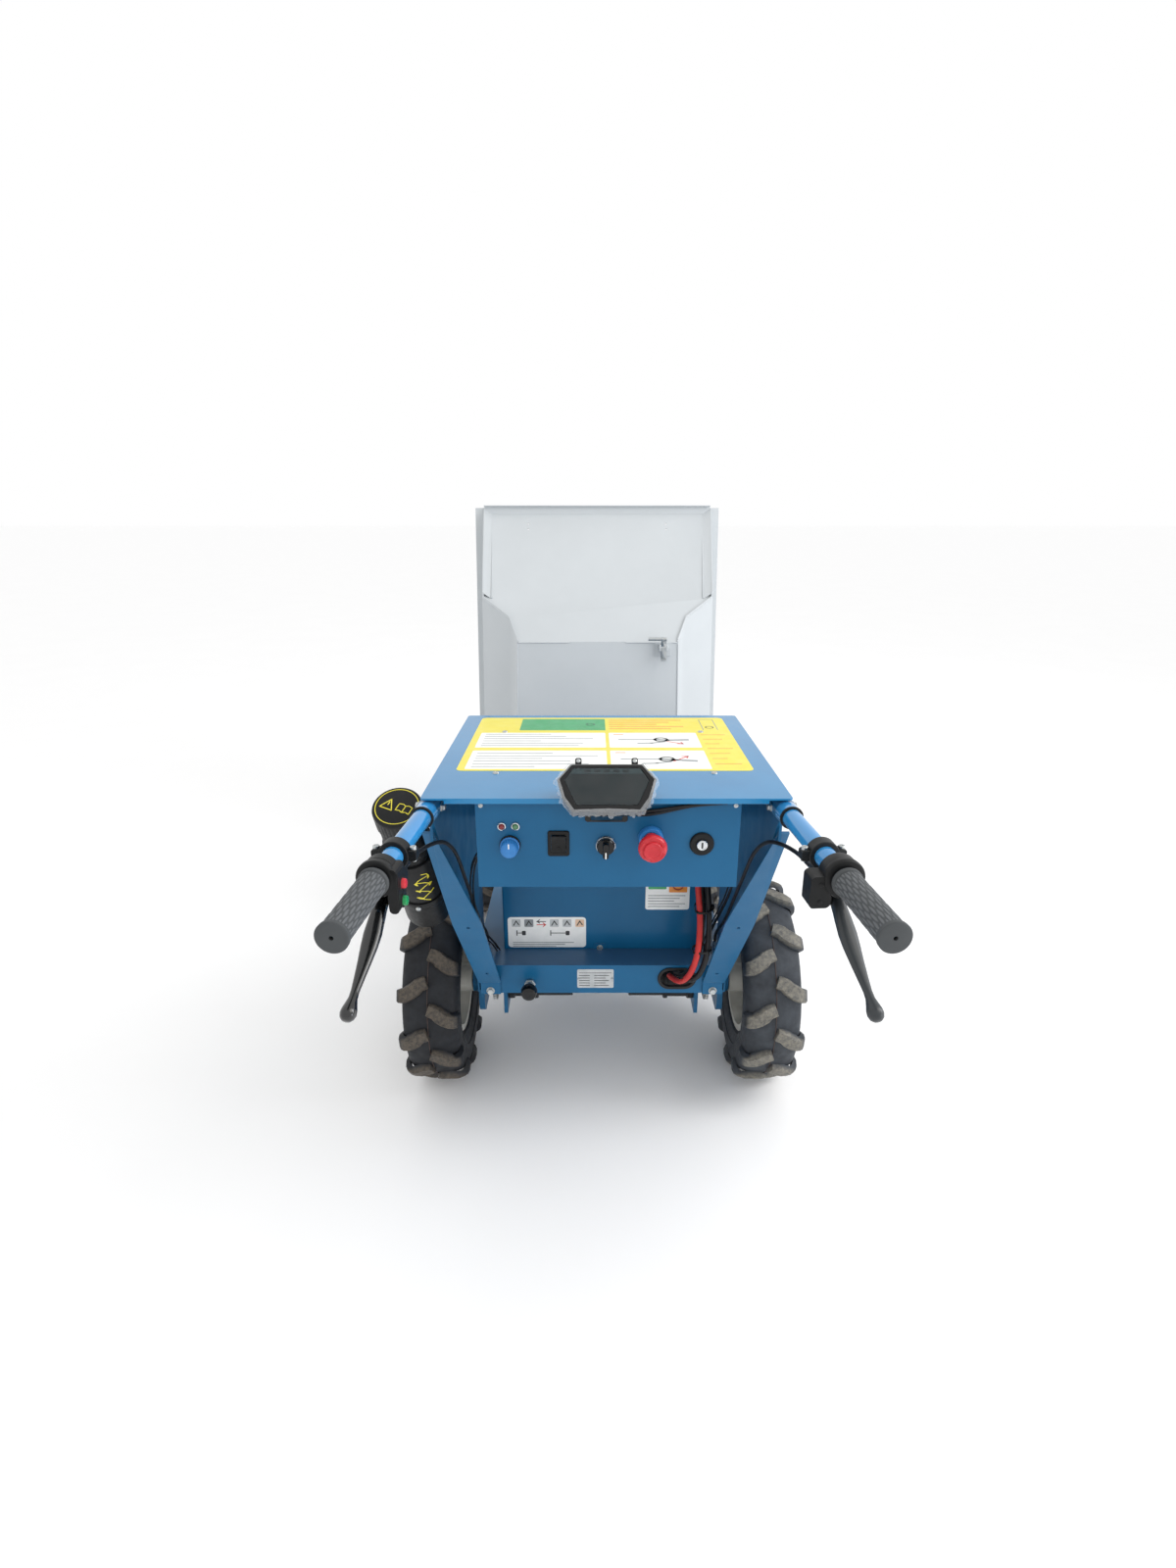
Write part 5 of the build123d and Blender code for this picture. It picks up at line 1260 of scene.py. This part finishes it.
@dataclass
class Handle:
    """One handle: tube, grip, brake perch and lever, and the pod or throttle housing beside the grip."""

    side: Side
    root: tuple = (250.5, -448.0, 765.0)
    splay: float = 4.44
    tube_r: float = 13.0
    grip_from: float = 217.0
    grip_to: float = 342.0
    clamp_at: float = 140.0
    pivot: tuple = (188.0, -35.0)
    lever_angle: float = 27.4

    def __post_init__(self) -> None:
        """Sets the local frame: z along the handle towards the grip, y up, x to the right."""
        sign = self.side.value
        turn = radians(self.splay)
        self.place = placed((sign * self.root[0], self.root[1], self.root[2]),
                            (cos(turn), sign * sin(turn), 0), (sign * sin(turn), -cos(turn), 0))
        # the same frame seen from the machine's middle: x towards it on both sides
        self.inboard = self.place @ Matrix.Scale(-sign, 4, (1, 0, 0))
        self.name = self.side.name.lower()

    def tube(self) -> None:
        """Builds the enamelled tube and the dark ring at the socket's mouth."""
        tube = Shape()
        tube.turned([(11, -60), (13, -60), (13, 336), (12.4, 337), (11, 337)], self.place, 0, 64, True)
        tube.turned([(13.05, -1), (15.9, -1), (15.9, 21), (13.05, 21)], self.place, 0, 64, True)
        tube.turned([(13.05, 21), (16.2, 21), (16.4, 21.6), (16.4, 23.6), (15.8, 24.4), (13.05, 24.4)], self.place,
                    1, 64, True)
        tube.piece(f"handle_tube_{self.name}_enamelled", "handle_paint", [HANDLE_BLUE, BLACK], 0,
                   [f"handle_tube_{self.name}"])

    def leaf(self, turn: float, along: float) -> float:
        """Height of the grip's leaf pattern, from 0 to 1.

        Args:
            turn: angle about the handle.
            along: distance down the grip.

        Returns:
            The height.
        """
        cells = 14
        best = 0.0
        for row_shift in (0.0, 0.5):
            u = (turn / (2 * pi) * cells + row_shift) % 1.0 - 0.5
            row = along / 21.0 + row_shift
            v = row % 1.0 - 0.5
            lean = 0.035 if int(row) % 2 else -0.035
            du, dv = u * 7.4, v * 21.0
            a = du * cos(lean) - dv * sin(lean)
            b = du * sin(lean) + dv * cos(lean)
            leaf = 1 - (a / 1.5) ** 2 - (b / 9.6) ** 2
            if leaf > 0:
                best = max(best, min(1.0, leaf * 2.2))
        return best

    def grip(self) -> None:
        """Builds the grip, its leaf pattern standing proud between two collars."""
        bm = bmesh.new()
        around, length = 132, self.grip_to - self.grip_from
        lag = 0.3 if self.side is Side.RIGHT else 0.0
        stations = [(0.0, self.tube_r + 0.1), (0.0, 17.0), (0.8, 18.0), (4.2, 18.0), (5.2, 17.4), (6.0, 15.9)]
        stations += [(6.0 + (length - 14) * i / 96, 15.9) for i in range(1, 97)]
        stations += [(length - 7, 16.4), (length - 5.8, 17.8), (length - 1.4, 18.0), (length - 0.5, 17.2),
                     (length, 15.6), (length, 2.5), (length - 4.6, 2.5), (length - 4.6, self.tube_r + 0.1)]
        relief = []
        rings = []
        for i, (s, radius) in enumerate(stations):
            ring = []
            for k in range(around):
                turn = 2 * pi * k / around
                raised = self.leaf(turn, s - 6) if 7 <= i <= 101 else 0.0
                r = radius + 0.7 * raised
                ring.append(bm.verts.new(Site.at(self.place @ Vector((r * cos(turn), r * sin(turn),
                                                                      self.grip_from + lag + s)))))
                relief.append(raised)
            rings.append(ring)
        for a, b in zip(rings, rings[1:] + rings[:1]):
            for k in range(around):
                j = (k + 1) % around
                bm.faces.new((a[k], a[j], b[j], b[k]))
        bmesh.ops.recalc_face_normals(bm, faces=bm.faces)
        mesh = bpy.data.meshes.new("grip")
        bm.to_mesh(mesh)
        bm.free()
        layer = mesh.attributes.new("relief", "FLOAT", "POINT")
        layer.data.foreach_set("value", relief)
        node, body = ("grip_left", "chassis") if self.side is Side.LEFT else ("throttle_grip", "throttle")
        finished(mesh, f"grip_{self.name}_rubber", body, [GRIP], 0, [node])

    def pod(self) -> None:
        """Builds the switch pod with its flange and two buttons."""
        pod = Shape()
        bore = self.tube_r + 0.05
        pod.turned([(bore, 184), (19.5, 184), (21, 185.5), (21, 203), (22.4, 204), (23.4, 206), (23.4, 211.6),
                    (22.2, 213.2), (18, 214), (bore, 214)], self.inboard, 0, 72, True)
        for x, y, s in (((13.4, 25), (-43, 13), (184.6, 213.4)), ((12.6, 26), (-41, 11), (186, 212))):
            pod.prism(rounded(x, y, 5, 5), s, self.inboard)
        pod.turned([(15.6, 198.4), (21.3, 198.4), (21.3, 199.6), (15.6, 199.6)], self.inboard, 0, 72, True)
        for y in (-10, -32):
            out = self.inboard @ placed((25.6, y, 199), (0, 1, 0), (1, 0, 0))
            pod.turned([(6.4, -1), (8.6, -1), (8.6, 0.8), (7.8, 1.5), (6.4, 1.1)], out, 0, 40, True)
        pod.piece("switch_pod_case", "black_plastic", [BLACK], 0.5, ["switch_pod"])
        for name, y, finish, slot in (("red_button", -10, RED, "red_plastic"),
                                      ("green_button", -32, GREEN, "green_plastic")):
            button = Shape()
            out = self.inboard @ placed((18.8, y, 199), (0, 1, 0), (1, 0, 0))
            button.turned([(0, 0), (6, 0), (6, 10.8), (5.4, 12), (4, 12.5), (0, 12.2)], out, 0, 40)
            button.piece(f"{name}_cap", slot, [finish], 0, [name], body=name)

    def throttle(self) -> None:
        """Builds the throttle housing with its ring, cable box and cable boss."""
        case = Shape()
        bore = self.tube_r + 0.05
        case.turned([(bore, 184), (20, 184), (22, 186), (23, 189), (23, 203), (24.2, 204.4), (24.4, 207),
                     (24.4, 211), (23.2, 213), (19, 213.9), (bore, 213.9)], self.inboard, 0, 72, True)
        case.prism(rounded((14, 39), (-36, 4), 6, 5), (186, 212), self.inboard)
        case.turned([(0, 176), (5, 176), (6.4, 178), (6.6, 190), (0, 190)], self.inboard @ placed((27, -20, 0)), 0,
                    32)
        for y in (-28, -6):
            out = self.inboard @ placed((26.5, y, 211.9))
            case.turned([(0, 1.3), (1.4, 1.3), (2.8, 0.9), (3.1, 0), (0, -0.5)], out, 0, 24)
        case.piece("throttle_case", "black_plastic", [BLACK], 0.6, ["throttle_housing"])

    def perch(self) -> None:
        """Builds the split clamp with its bolts, the arm and the forked ears."""
        perch = Shape()
        c, pivot_s, pivot_y = self.clamp_at, *self.pivot
        bore = self.tube_r + 0.05
        perch.turned([(bore, c - 9), (18.2, c - 9), (19, c - 8), (19, c + 8), (18.2, c + 9), (bore, c + 9)],
                     self.inboard, 0, 64, True)
        for sign in (-1, 1):
            x = sorted((sign * 17, sign * 28))
            perch.prism(rounded((x[0], x[1]), (-6.6, 6.6), 2.5, 3), (c - 7, c + 7), self.inboard)
            bolt = self.inboard @ placed((sign * 23, 6.4, c), (1, 0, 0), (0, 1, 0))
            perch.turned([(0, -15.5), (3.4, -15.5), (3.4, -13), (2.2, -13), (2.2, 0), (4.3, 0), (4.3, 3.4),
                          (3.8, 4), (2, 4), (1.6, 2.6), (0, 2.6)], bolt, 1, 24)
        side = [(c - 12, -17), (c + 4, -17), (pivot_s - 14, -24), (pivot_s, pivot_y + 11),
                (pivot_s + 9, pivot_y + 5), (pivot_s + 10, pivot_y - 3), (pivot_s + 4, pivot_y - 10),
                (pivot_s - 18, -46), (c - 6, -44), (c - 12, -34)]
        for x in ((-14, -10.5), (6.5, 10)):
            perch.skin([[self.inboard @ Vector((x_, y, s)) for s, y in side] for x_ in x])
        perch.prism(rounded((-12, 8.2), (-44.5, -17.5), 4, 4), (c - 11, pivot_s - 18), self.inboard)
        barrel = self.inboard @ placed((-2, -36, 0))
        perch.turned([(0, 116), (4.2, 116), (4.2, 124), (5.4, 125), (5.4, 131), (0, 131)], barrel, 1, 20, False, 10,
                     0.5)
        pin = self.inboard @ placed((-2, pivot_y, pivot_s), (0, 1, 0), (1, 0, 0))
        perch.turned([(0, -15.4), (1.6, -15.4), (2, -14.8), (5, -15), (5.6, -14.2), (5.6, -12), (3, -12), (3, 12),
                      (5.6, 12), (5.6, 14.2), (4.8, 15), (0, 15)], pin, 1, 32)
        perch.piece(f"brake_perch_{self.name}", "lever_paint", [BLACK if self.side is Side.LEFT else DARK_GREY,
                ZINC], 0.7, ["brake_perches"] if self.side is Side.LEFT else ())

    def lever(self) -> None:
        """Builds the lever: a blade widest a third of the way along, a narrow waist and a round end."""
        stations = ((-9.4, 3.4, 3.2, 0), (-8, 6.0, 6.2, 0), (-4, 7.4, 8.6, 0), (4, 7.6, 9.2, 0), (16, 8.2, 8.6, 0),
                    (32, 9.6, 7.4, 0.6), (50, 10.6, 6.4, 1.6), (66, 9.8, 5.6, 2.2), (86, 7.8, 4.9, 2.2),
                    (106, 5.9, 4.4, 1.4), (122, 4.9, 4.2, 0.6), (131, 5.2, 4.8, 0.2), (138, 6.9, 6.9, 0),
                    (144, 8.6, 8.6, 0), (149, 9.0, 9.0, 0), (153.4, 7.6, 7.6, 0), (156.2, 4.8, 4.8, 0),
                    (157, 2, 2, 0))
        turn = radians(self.lever_angle)
        way, up = Vector((0, -sin(turn), cos(turn))), Vector((0, cos(turn), sin(turn)))
        start = Vector((-2, self.pivot[1], self.pivot[0]))
        rings = []
        for t, half_w, half_h, bow in stations:
            flat = 0.72 if t < 120 else 1.0
            ring = []
            for k in range(28):
                a = 2 * pi * k / 28
                x = half_w * copysign(abs(cos(a)) ** flat, cos(a))
                h = half_h * copysign(abs(sin(a)) ** flat, sin(a)) - bow
                ring.append(self.inboard @ (start + way * t + up * h + Vector((x, 0, 0))))
            rings.append(ring)
        lever = Shape()
        lever.skin(rings)
        name = f"brake_lever_{self.name}"
        lever.piece(f"{name}_blade", "lever_paint", [LEVER_GLOSS if self.side is Side.LEFT else LEVER_MATT], 0,
                    [name], body=name)

    def build(self) -> None:
        """Builds the handle."""
        self.tube()
        self.grip()
        self.perch()
        self.lever()
        if self.side is Side.LEFT:
            self.pod()
        else:
            self.throttle()
            refined("park_lock", ZINC, 0.8)


# ---- canister


@dataclass
class Canister:
    """Black document canister with a printed cap, strapped to the console's side."""

    top: tuple = (-309.0, -380.0, 747.0)
    tilt: float = 32.0
    neck: float = 35.0
    radius: float = 40.0
    shoulder: float = 112.0
    cap_radius: float = 37.5
    cap_depth: float = 35.0
    length: float = 300.0

    def cap(self, place: Matrix) -> None:
        """Builds the ribbed cap with its printed signs: a triangle and an open book in a ring."""
        cap, c, depth = Shape(), self.cap_radius, self.cap_depth
        cap.turned([(0, 0), (c - 3.4, 0), (c - 1.4, -0.7), (c - 0.4, -2), (c, -3.4), (c, -6)], place, 0, 144)
        cap.turned([(c - 0.6, -5.6), (c, -6), (c, 2 - depth), (c - 0.6, -depth), (self.neck + 0.4, -depth),
                    (self.neck + 0.4, -3.2), (0, -3.2), (0, -2.6), (c - 3, -2.6)], place, 0, 144, False, 36, 0.7)
        step = (0.0, 0.25)
        cap.turned([(c - 5, step[0]), (c - 5, step[1]), (c - 6.2, step[1]), (c - 6.2, step[0])], place, 1, 72, True)
        sign = place @ Matrix.Rotation(radians(-22), 4, "Z")
        cap.stroke([(-24, -9), (-14, 9), (-4, -9), (-24, -9)], 1.5, step, sign, 1)
        cap.stroke([(-14, -1.5), (-14, 4)], 1.6, step, sign, 1)
        for flip in (-1, 1):
            page = [(12 + flip * x, y) for x, y in ((0, -7), (5, -5), (11, -6.4), (11, 6), (5, 7.4), (0, 5.4))]
            cap.stroke(page, 1.4, step, sign, 1)
        cap.stroke([(12, -7), (12, 5.4)], 1.4, step, sign, 1)
        cap.piece("canister_cap_printed", "black_plastic", [BLACK, YELLOW_INK], 0, ["canister_cap"], body="cap")

    def build(self) -> None:
        """Builds the canister, its cap and straps."""
        lean = radians(self.tilt)
        place = placed(self.top, (1, 0, 0), (0, -sin(lean), cos(lean)))
        n, r, s, top = self.neck, self.radius, -self.shoulder, -3.3
        body = Shape()
        body.turned([(0, -self.length), (r - 4, -self.length), (r - 1, 2 - self.length), (r, 5 - self.length),
                     (r, s - 3), (r - 1, s - 0.6), (r - 2.6, s), (n, s), (n, top - 1), (n - 0.6, top), (n - 3, top),
                     (n - 3, s - 3), (r - 3, s - 3), (r - 3, 4 - self.length), (0, 3 - self.length)], place, 0, 72)
        wave = [(13 * sin(0.42 * i) + 4 * sin(1.3 * i), s - 26 - 1.5 * i + 6 * cos(0.9 * i))
                for i in range(46)]
        for (ax, ah), (bx, bh) in zip(wave, wave[1:]):
            way = Vector((bx - ax, bh - ah)).normalized() * 0.8
            turns = ((ax - way.y, ah + way.x), (ax + way.y, ah - way.x), (bx + way.y, bh - way.x),
                     (bx - way.y, bh + way.x))
            body.skin([[place @ Vector((rad * cos(t), rad * sin(t), h)) for t,
                        h in ((radians(296) + x / r, h) for x, h in turns)] for rad in (r - 0.6, r + 0.5)], 1)
        body.piece("canister_body", "black_plastic", [BLACK, YELLOW_INK], 0, ["canister"])
        self.cap(place)
        straps = Shape()
        for at, around in ((90.0, n), (225.0, r)):
            straps.turned([(around + 0.1, 9 - at), (around + 2.4, 9 - at), (around + 3, 8 - at),
                           (around + 3, -8 - at), (around + 2.4, -9 - at), (around + 0.1, -9 - at)], place, 0, 72,
                          True)
            straps.prism([(22, -11), (59, -11), (59, 11), (22, 11)], (-at - 9, -at + 9), place, 1)
            clamp = place @ rearward(0, -around - 3, -at)
            straps.turned([(0, 3.6), (3.2, 3.4), (4.6, 2), (4.8, -0.5), (0, -0.5)], clamp, 2, 24)
        straps.piece("canister_straps", "zinc_steel", [BLACK, BLUE, ZINC], 0.5)


# ---- skip


@dataclass
class Skip:
    """Off-white skip: its plates with broken edges, and beads of weld along their seams."""

    floor_y: float = 880.0
    rear_z: float = 790.0
    levels: tuple = ((0.0, 240.0), (55.0, 270.0), (105.0, 355.0), (330.0, 376.0))
    flare: float = 0.025
    floor_length: float = 515.0
    front_rise: float = 720.0
    rear_rise: float = -360.0
    bead: float = 1.9

    def tipped(self, x: float, y: float, n: float) -> Vector:
        """Returns a point of the skip, by its distance from the floor's rear edge and height above it."""
        return Vector((x, self.floor_y + n, self.rear_z - y))

    def weld(self, shape: Shape, start: Vector, end: Vector) -> None:
        """Lays one rippled bead."""
        count = max(4, int((end - start).length / 2.6))
        line = [start.lerp(end, i / count) + Vector((0, -0.12, 0)) * sin(i * 1.7) for i in range(count + 1)]
        shape.tube(line, self.bead, 0, 8, 0.4)

    def build(self) -> None:
        """Builds the skip's looks."""
        for node in ("skip_side_left", "skip_side_right", "skip_rear_wall", "skip_front_wall", "skip_floor"):
            refined(node, SKIP_WHITE, 0.7)
        refined("latch_lever", ZINC, 1.2)
        welds = Shape()
        step_n, step_x = self.levels[2]
        step_y = self.rear_rise * step_n / self.levels[3][0]
        for sign in (-1, 1):
            foot = self.levels[0][1] - 1
            self.weld(welds, self.tipped(sign * (foot - 2), 2, -0.6), self.tipped(sign * foot * 0.35, 2, -0.6))
            self.weld(welds, self.tipped(sign * (foot + 0.5), 6, -0.4),
                      self.tipped(sign * (foot + 0.5 + self.flare * 500), 506, -0.4))
            low = self.tipped(sign * (step_x + self.flare * step_y - 29), step_y - 2, step_n - 1)
            high = self.tipped(sign * (self.levels[3][1] + self.flare * self.rear_rise - 29.5), self.rear_rise + 8,
                               self.levels[3][0] - 4)
            self.weld(welds, low, high)
            side = [self.tipped(sign * (x - 3 + self.flare * self.rear_rise * n / 330), self.rear_rise * n / 330 - 1,
                                n - 1.2) for n, x in self.levels[:3]]
            for a, b in zip(side, side[1:]):
                self.weld(welds, a, b)
        welds.piece("skip_weld_beads", "skip_paint", [SKIP_WHITE], body="skip")


# ---- cables


@dataclass
class Cables:
    """Battery cables, brake cables and the thin loom inside the console."""

    red: tuple = ((172, -150, 560), (176, -172, 500), (180, -190, 445), (176, -205, 390), (166, -200, 345),
                  (154, -175, 310), (142, -149, 296), (134, -122, 290))
    black_a: tuple = ((192, -146, 560), (194, -168, 500), (197, -186, 445), (195, -198, 390), (186, -196, 345),
                      (174, -172, 312), (166, -149, 298), (161, -122, 292))
    black_b: tuple = ((182, -128, 560), (186, -150, 500), (188, -168, 445), (184, -182, 390), (174, -176, 345),
                      (162, -158, 316), (151, -142, 303), (147.5, -122, 296))
    brake: tuple = ((262.4, -575.1, 730), (259.8, -542, 729.5), (255, -498, 727), (244, -450, 719),
                    (235, -405, 702), (230, -352, 660), (228, -300, 590), (228, -248, 530), (229, -195, 470),
                    (230, -140, 415), (230, -90, 373), (230, -68, 347), (230, -68, 321))
    looms: tuple = (
        ((-136, -392, 706), (-150, -360, 690), (-205, -330, 650), (-226, -270, 560), (-232, -190, 450),
         (-226, -120, 380), (-214, -86, 340), (-208, -80, 322)),
        ((135, -392, 712), (160, -360, 694), (210, -320, 640), (222, -240, 540), (214, -160, 440), (206, -110, 370),
         (204, -84, 322)),
        ((63, -394, 716), (60, -340, 700), (20, -240, 690), (10, -120, 668), (40, -20, 600), (52, 20, 575)),
        ((0, -394, 706), (-20, -330, 672), (-60, -220, 660), (-50, -90, 640), (-30, 0, 590), (-20, 30, 575)))

    def build(self) -> None:
        """Builds the cables with their ties and ferrules."""
        red = Shape()
        red.tube(smooth_line(self.red), 5.5, 0, 18)
        red.piece("red_battery_cable", "cable_red", [SHEATH_RED], 0, ["red_cable"])
        black = Shape()
        for route in (self.black_a, self.black_b):
            black.tube(smooth_line(route), 5.5, 0, 18)
        for sign in (-1, 1):
            line = smooth_line([(sign * x, y, z) for x, y, z in self.brake])
            black.tube(line, 3.0, 0, 14)
            black.tube([line[0] + (line[0] - line[1]).normalized() * 2, *line[:4]], 4.2, 1, 18)
            black.tube(line[-4:], 4.0, 1, 18)
        black.piece("black_cable_set", "cable_black", [SHEATH, ZINC], 0, ["black_cables"])
        ties = Shape()
        for centre, lean in (((186, -177, 470), 0.30), ((183, -193, 392), 0.02), ((163, -172, 318), -0.62)):
            outline = rounded((-15, 15), (-13.5, 13.5), 9, 6)
            place = placed(centre, (1, 0, 0.1), (0, -sin(lean), cos(lean)))
            grown = [(x * 1.08, y * 1.09) for x, y in outline]
            ties.loft(((outline, -2.3), (grown, -2.3), (grown, 2.3), (outline, 2.3)), place, 0, True)
            ties.prism(rounded((13.4, 20), (-4, 4), 1.4, 3), (-3, 3), place)
            ties.block((16, 17.2), (-16, -3), (-1.8, 1.8), place)
        ties.piece("cable_ties", "black_plastic", [BLACK])
        loom = Shape()
        for i, route in enumerate(self.looms):
            for k in range(3):
                shift = Vector((3.1 * cos(2.1 * k + i), 2.2 * sin(2.1 * k), 3.1 * sin(2.1 * k + i)))
                loom.tube([p + shift for p in smooth_line(route)], 1.5, 0, 8)
        loom.piece("console_loom", "cable_black", [SHEATH])


# ---- fasteners


@dataclass
class Fasteners:
    """Screws and bolts, in the places that the CAD gives them."""

    cover_top: float = COVER_TOP

    def pan_head(self) -> Shape:
        """Returns a pan-head screw with a cross recess, 10 mm across."""
        screw = Shape()
        screw.turned([(0, 1.3), (1.2, 1.4), (1.7, 2.5), (3.2, 2.3), (4.5, 1.5), (5, 0.4), (5, -0.3), (0, -0.3)],
                     Matrix(), steps=28)
        return screw

    def hex_bolt(self) -> Shape:
        """Returns a hexagon bolt on its washer, 15 mm across."""
        bolt = Shape()
        bolt.turned([(0, -0.2), (8.2, -0.2), (8.2, 1.1), (7.8, 1.4), (0, 1.4)], Matrix(), steps=32)
        head = ((1.2, 1), (5.6, 1), (6.4, 0.9), (6.4, 0.5))
        bolt.loft([(hexagon(6.6 * k), z) for z, k in head], Matrix())
        return bolt

    def build(self) -> None:
        """Places them all."""
        small = [placed((x, y, self.cover_top)) for x, y in ((-175, -109), (175, -109), (-165, -341), (165, -341))]
        small += [rearward(x, PANEL_FACE, 772) @ Matrix.Scale(0.7, 4) for x in (-176, 181)]
        small += [rearward(x, -444, 757) @ Matrix.Scale(0.7, 4) for x in (-9.5, 9.5)]
        COPIES.spread("pan_head_screws", self.pan_head(), small, "chassis", "zinc_steel", ZINC,
                      replaces=["fasteners"])
        large = []
        for sign in (-1, 1):
            large.append(rearward(sign * 219, -139, 266))
            large.append(placed((sign * 254, -399, 732), (0, 1, 0), (sign, 0, 0)) @ Matrix.Scale(0.78, 4))
            handle = Handle(Side(sign)).place
            for way in (-1, 1):
                large.append(handle @ placed((way * 15.6, 0, -22), (0, 1, 0), (way, 0, 0)) @ Matrix.Scale(0.86, 4))
        large.append(rearward(-3, -74.6, 324) @ Matrix.Scale(0.78, 4))
        COPIES.spread("hex_bolts", self.hex_bolt(), large, "chassis", "zinc_steel", ZINC, 0.25)
        tab = Shape()
        tab.prism(rounded((-15, 9), (312, 334), 3), (0.05, 1.6), rearward(0, BOX_FACE, 0))
        tab.piece("battery_box_tab", "blue_paint", [BLUE], 0.4)


# ---- studio


@dataclass
class Studio:
    """Floor, lights and camera."""

    eye: tuple = (-23.0, -1464.7, 1162.0)
    pitch: float = 70.71
    lens_mm: float = 18.0

    def floor(self) -> None:
        """Lays a plain pale floor."""
        mesh = bpy.data.meshes.new("floor")
        mesh.from_pydata([(-60, -60, 0), (60, -60, 0), (60, 60, 0), (-60, 60, 0)], [], [(0, 1, 2, 3)])
        ground = bpy.data.objects.new("floor", mesh)
        bpy.context.scene.collection.objects.link(ground)
        pale = Coating("pale floor")
        pale.link(pale.mottled("#fdfdfd", "#fcfcfc", 400), "Base Color")
        pale.shader.inputs["Roughness"].default_value = 0.9
        pale.shader.inputs["Specular IOR Level"].default_value = 0.1
        mesh.materials.append(pale.material)

    def light(self, name: str, at: tuple, aim: tuple, size: tuple, power: float, colour: str) -> None:
        """Hangs one soft panel."""
        lamp = bpy.data.lights.new(name, "AREA")
        lamp.shape, lamp.size, lamp.size_y = "RECTANGLE", *size
        lamp.energy, lamp.color = power, linear(colour)[:3]
        holder = bpy.data.objects.new(name, lamp)
        holder.location = at
        holder.rotation_euler = (Vector(aim) - Vector(at)).to_track_quat("-Z", "Y").to_euler()
        bpy.context.scene.collection.objects.link(holder)

    def build(self) -> None:
        """Builds the studio."""
        scene = bpy.context.scene
        self.floor()
        world = bpy.data.worlds.new("studio") if scene.world is None else scene.world
        scene.world = world
        world.use_nodes = True
        world.node_tree.nodes["Background"].inputs[0].default_value = linear("#ffffff")
        world.node_tree.nodes["Background"].inputs[1].default_value = 1.0
        self.light("key", (2.0, -1.2, 3.0), (0, -0.1, 0.5), (1.6, 1.6), 20, "#fffaf2")
        self.light("window", (2.7, -0.5, 1.9), (-0.3, 0.7, 0.9), (1.2, 1.8), 34, "#f8faff")
        self.light("fill", (2.3, -1.9, 0.7), (0.36, -0.2, 0.2), (0.8, 0.8), 8, "#f2f6ff")
        camera = bpy.data.cameras.new("camera")
        camera.lens, camera.sensor_width, camera.sensor_fit = self.lens_mm, 36.0, "AUTO"
        camera.shift_x = -0.00125
        camera.clip_start = 0.02
        eye = bpy.data.objects.new("camera", camera)
        eye.location = Site.at(self.eye)
        eye.rotation_euler = (radians(self.pitch), 0, 0)
        scene.collection.objects.link(eye)
        scene.camera = eye
        scene.view_settings.view_transform = "Standard"


def dress_frame() -> None:
    """Gives every CAD node a finish of its own slot, also those that a finer piece stands for."""
    table = {"skip_paint": SKIP_WHITE, "blue_paint": BLUE, "tyre_rubber": STOP, "rim_paint": RIM_SILVER,
             "zinc_steel": ZINC, "grip_rubber": GRIP, "cable_red": SHEATH_RED, "red_plastic": RED,
             "green_plastic": GREEN, "blue_plastic": KNOB_BLUE, "handle_paint": HANDLE_BLUE}
    slots = frame["record"].get("slots") or {}
    for name, node in frame["nodes"].items():
        finish = table.get(slots.get(name, ""), BLACK)
        for place in node.material_slots:
            place.material = finish.material()
        if not node.material_slots:
            node.data.materials.append(finish.material())


def main() -> None:
    """Builds the wheelbarrow's looks round its frame."""
    logging.basicConfig(level=logging.INFO, format="%(name)s: %(message)s")
    Studio().build()
    dress_frame()
    for part in (Wheels(), Drive(), Body(), CoverLabel(), BoxLabels(), Panel(), Display(), Handle(Side.LEFT),
                 Handle(Side.RIGHT), Canister(), Skip(), Cables(), Fasteners()):
        part.build()
        LOG.info("%s done", type(part).__name__)


if __name__ == "__main__":
    main()
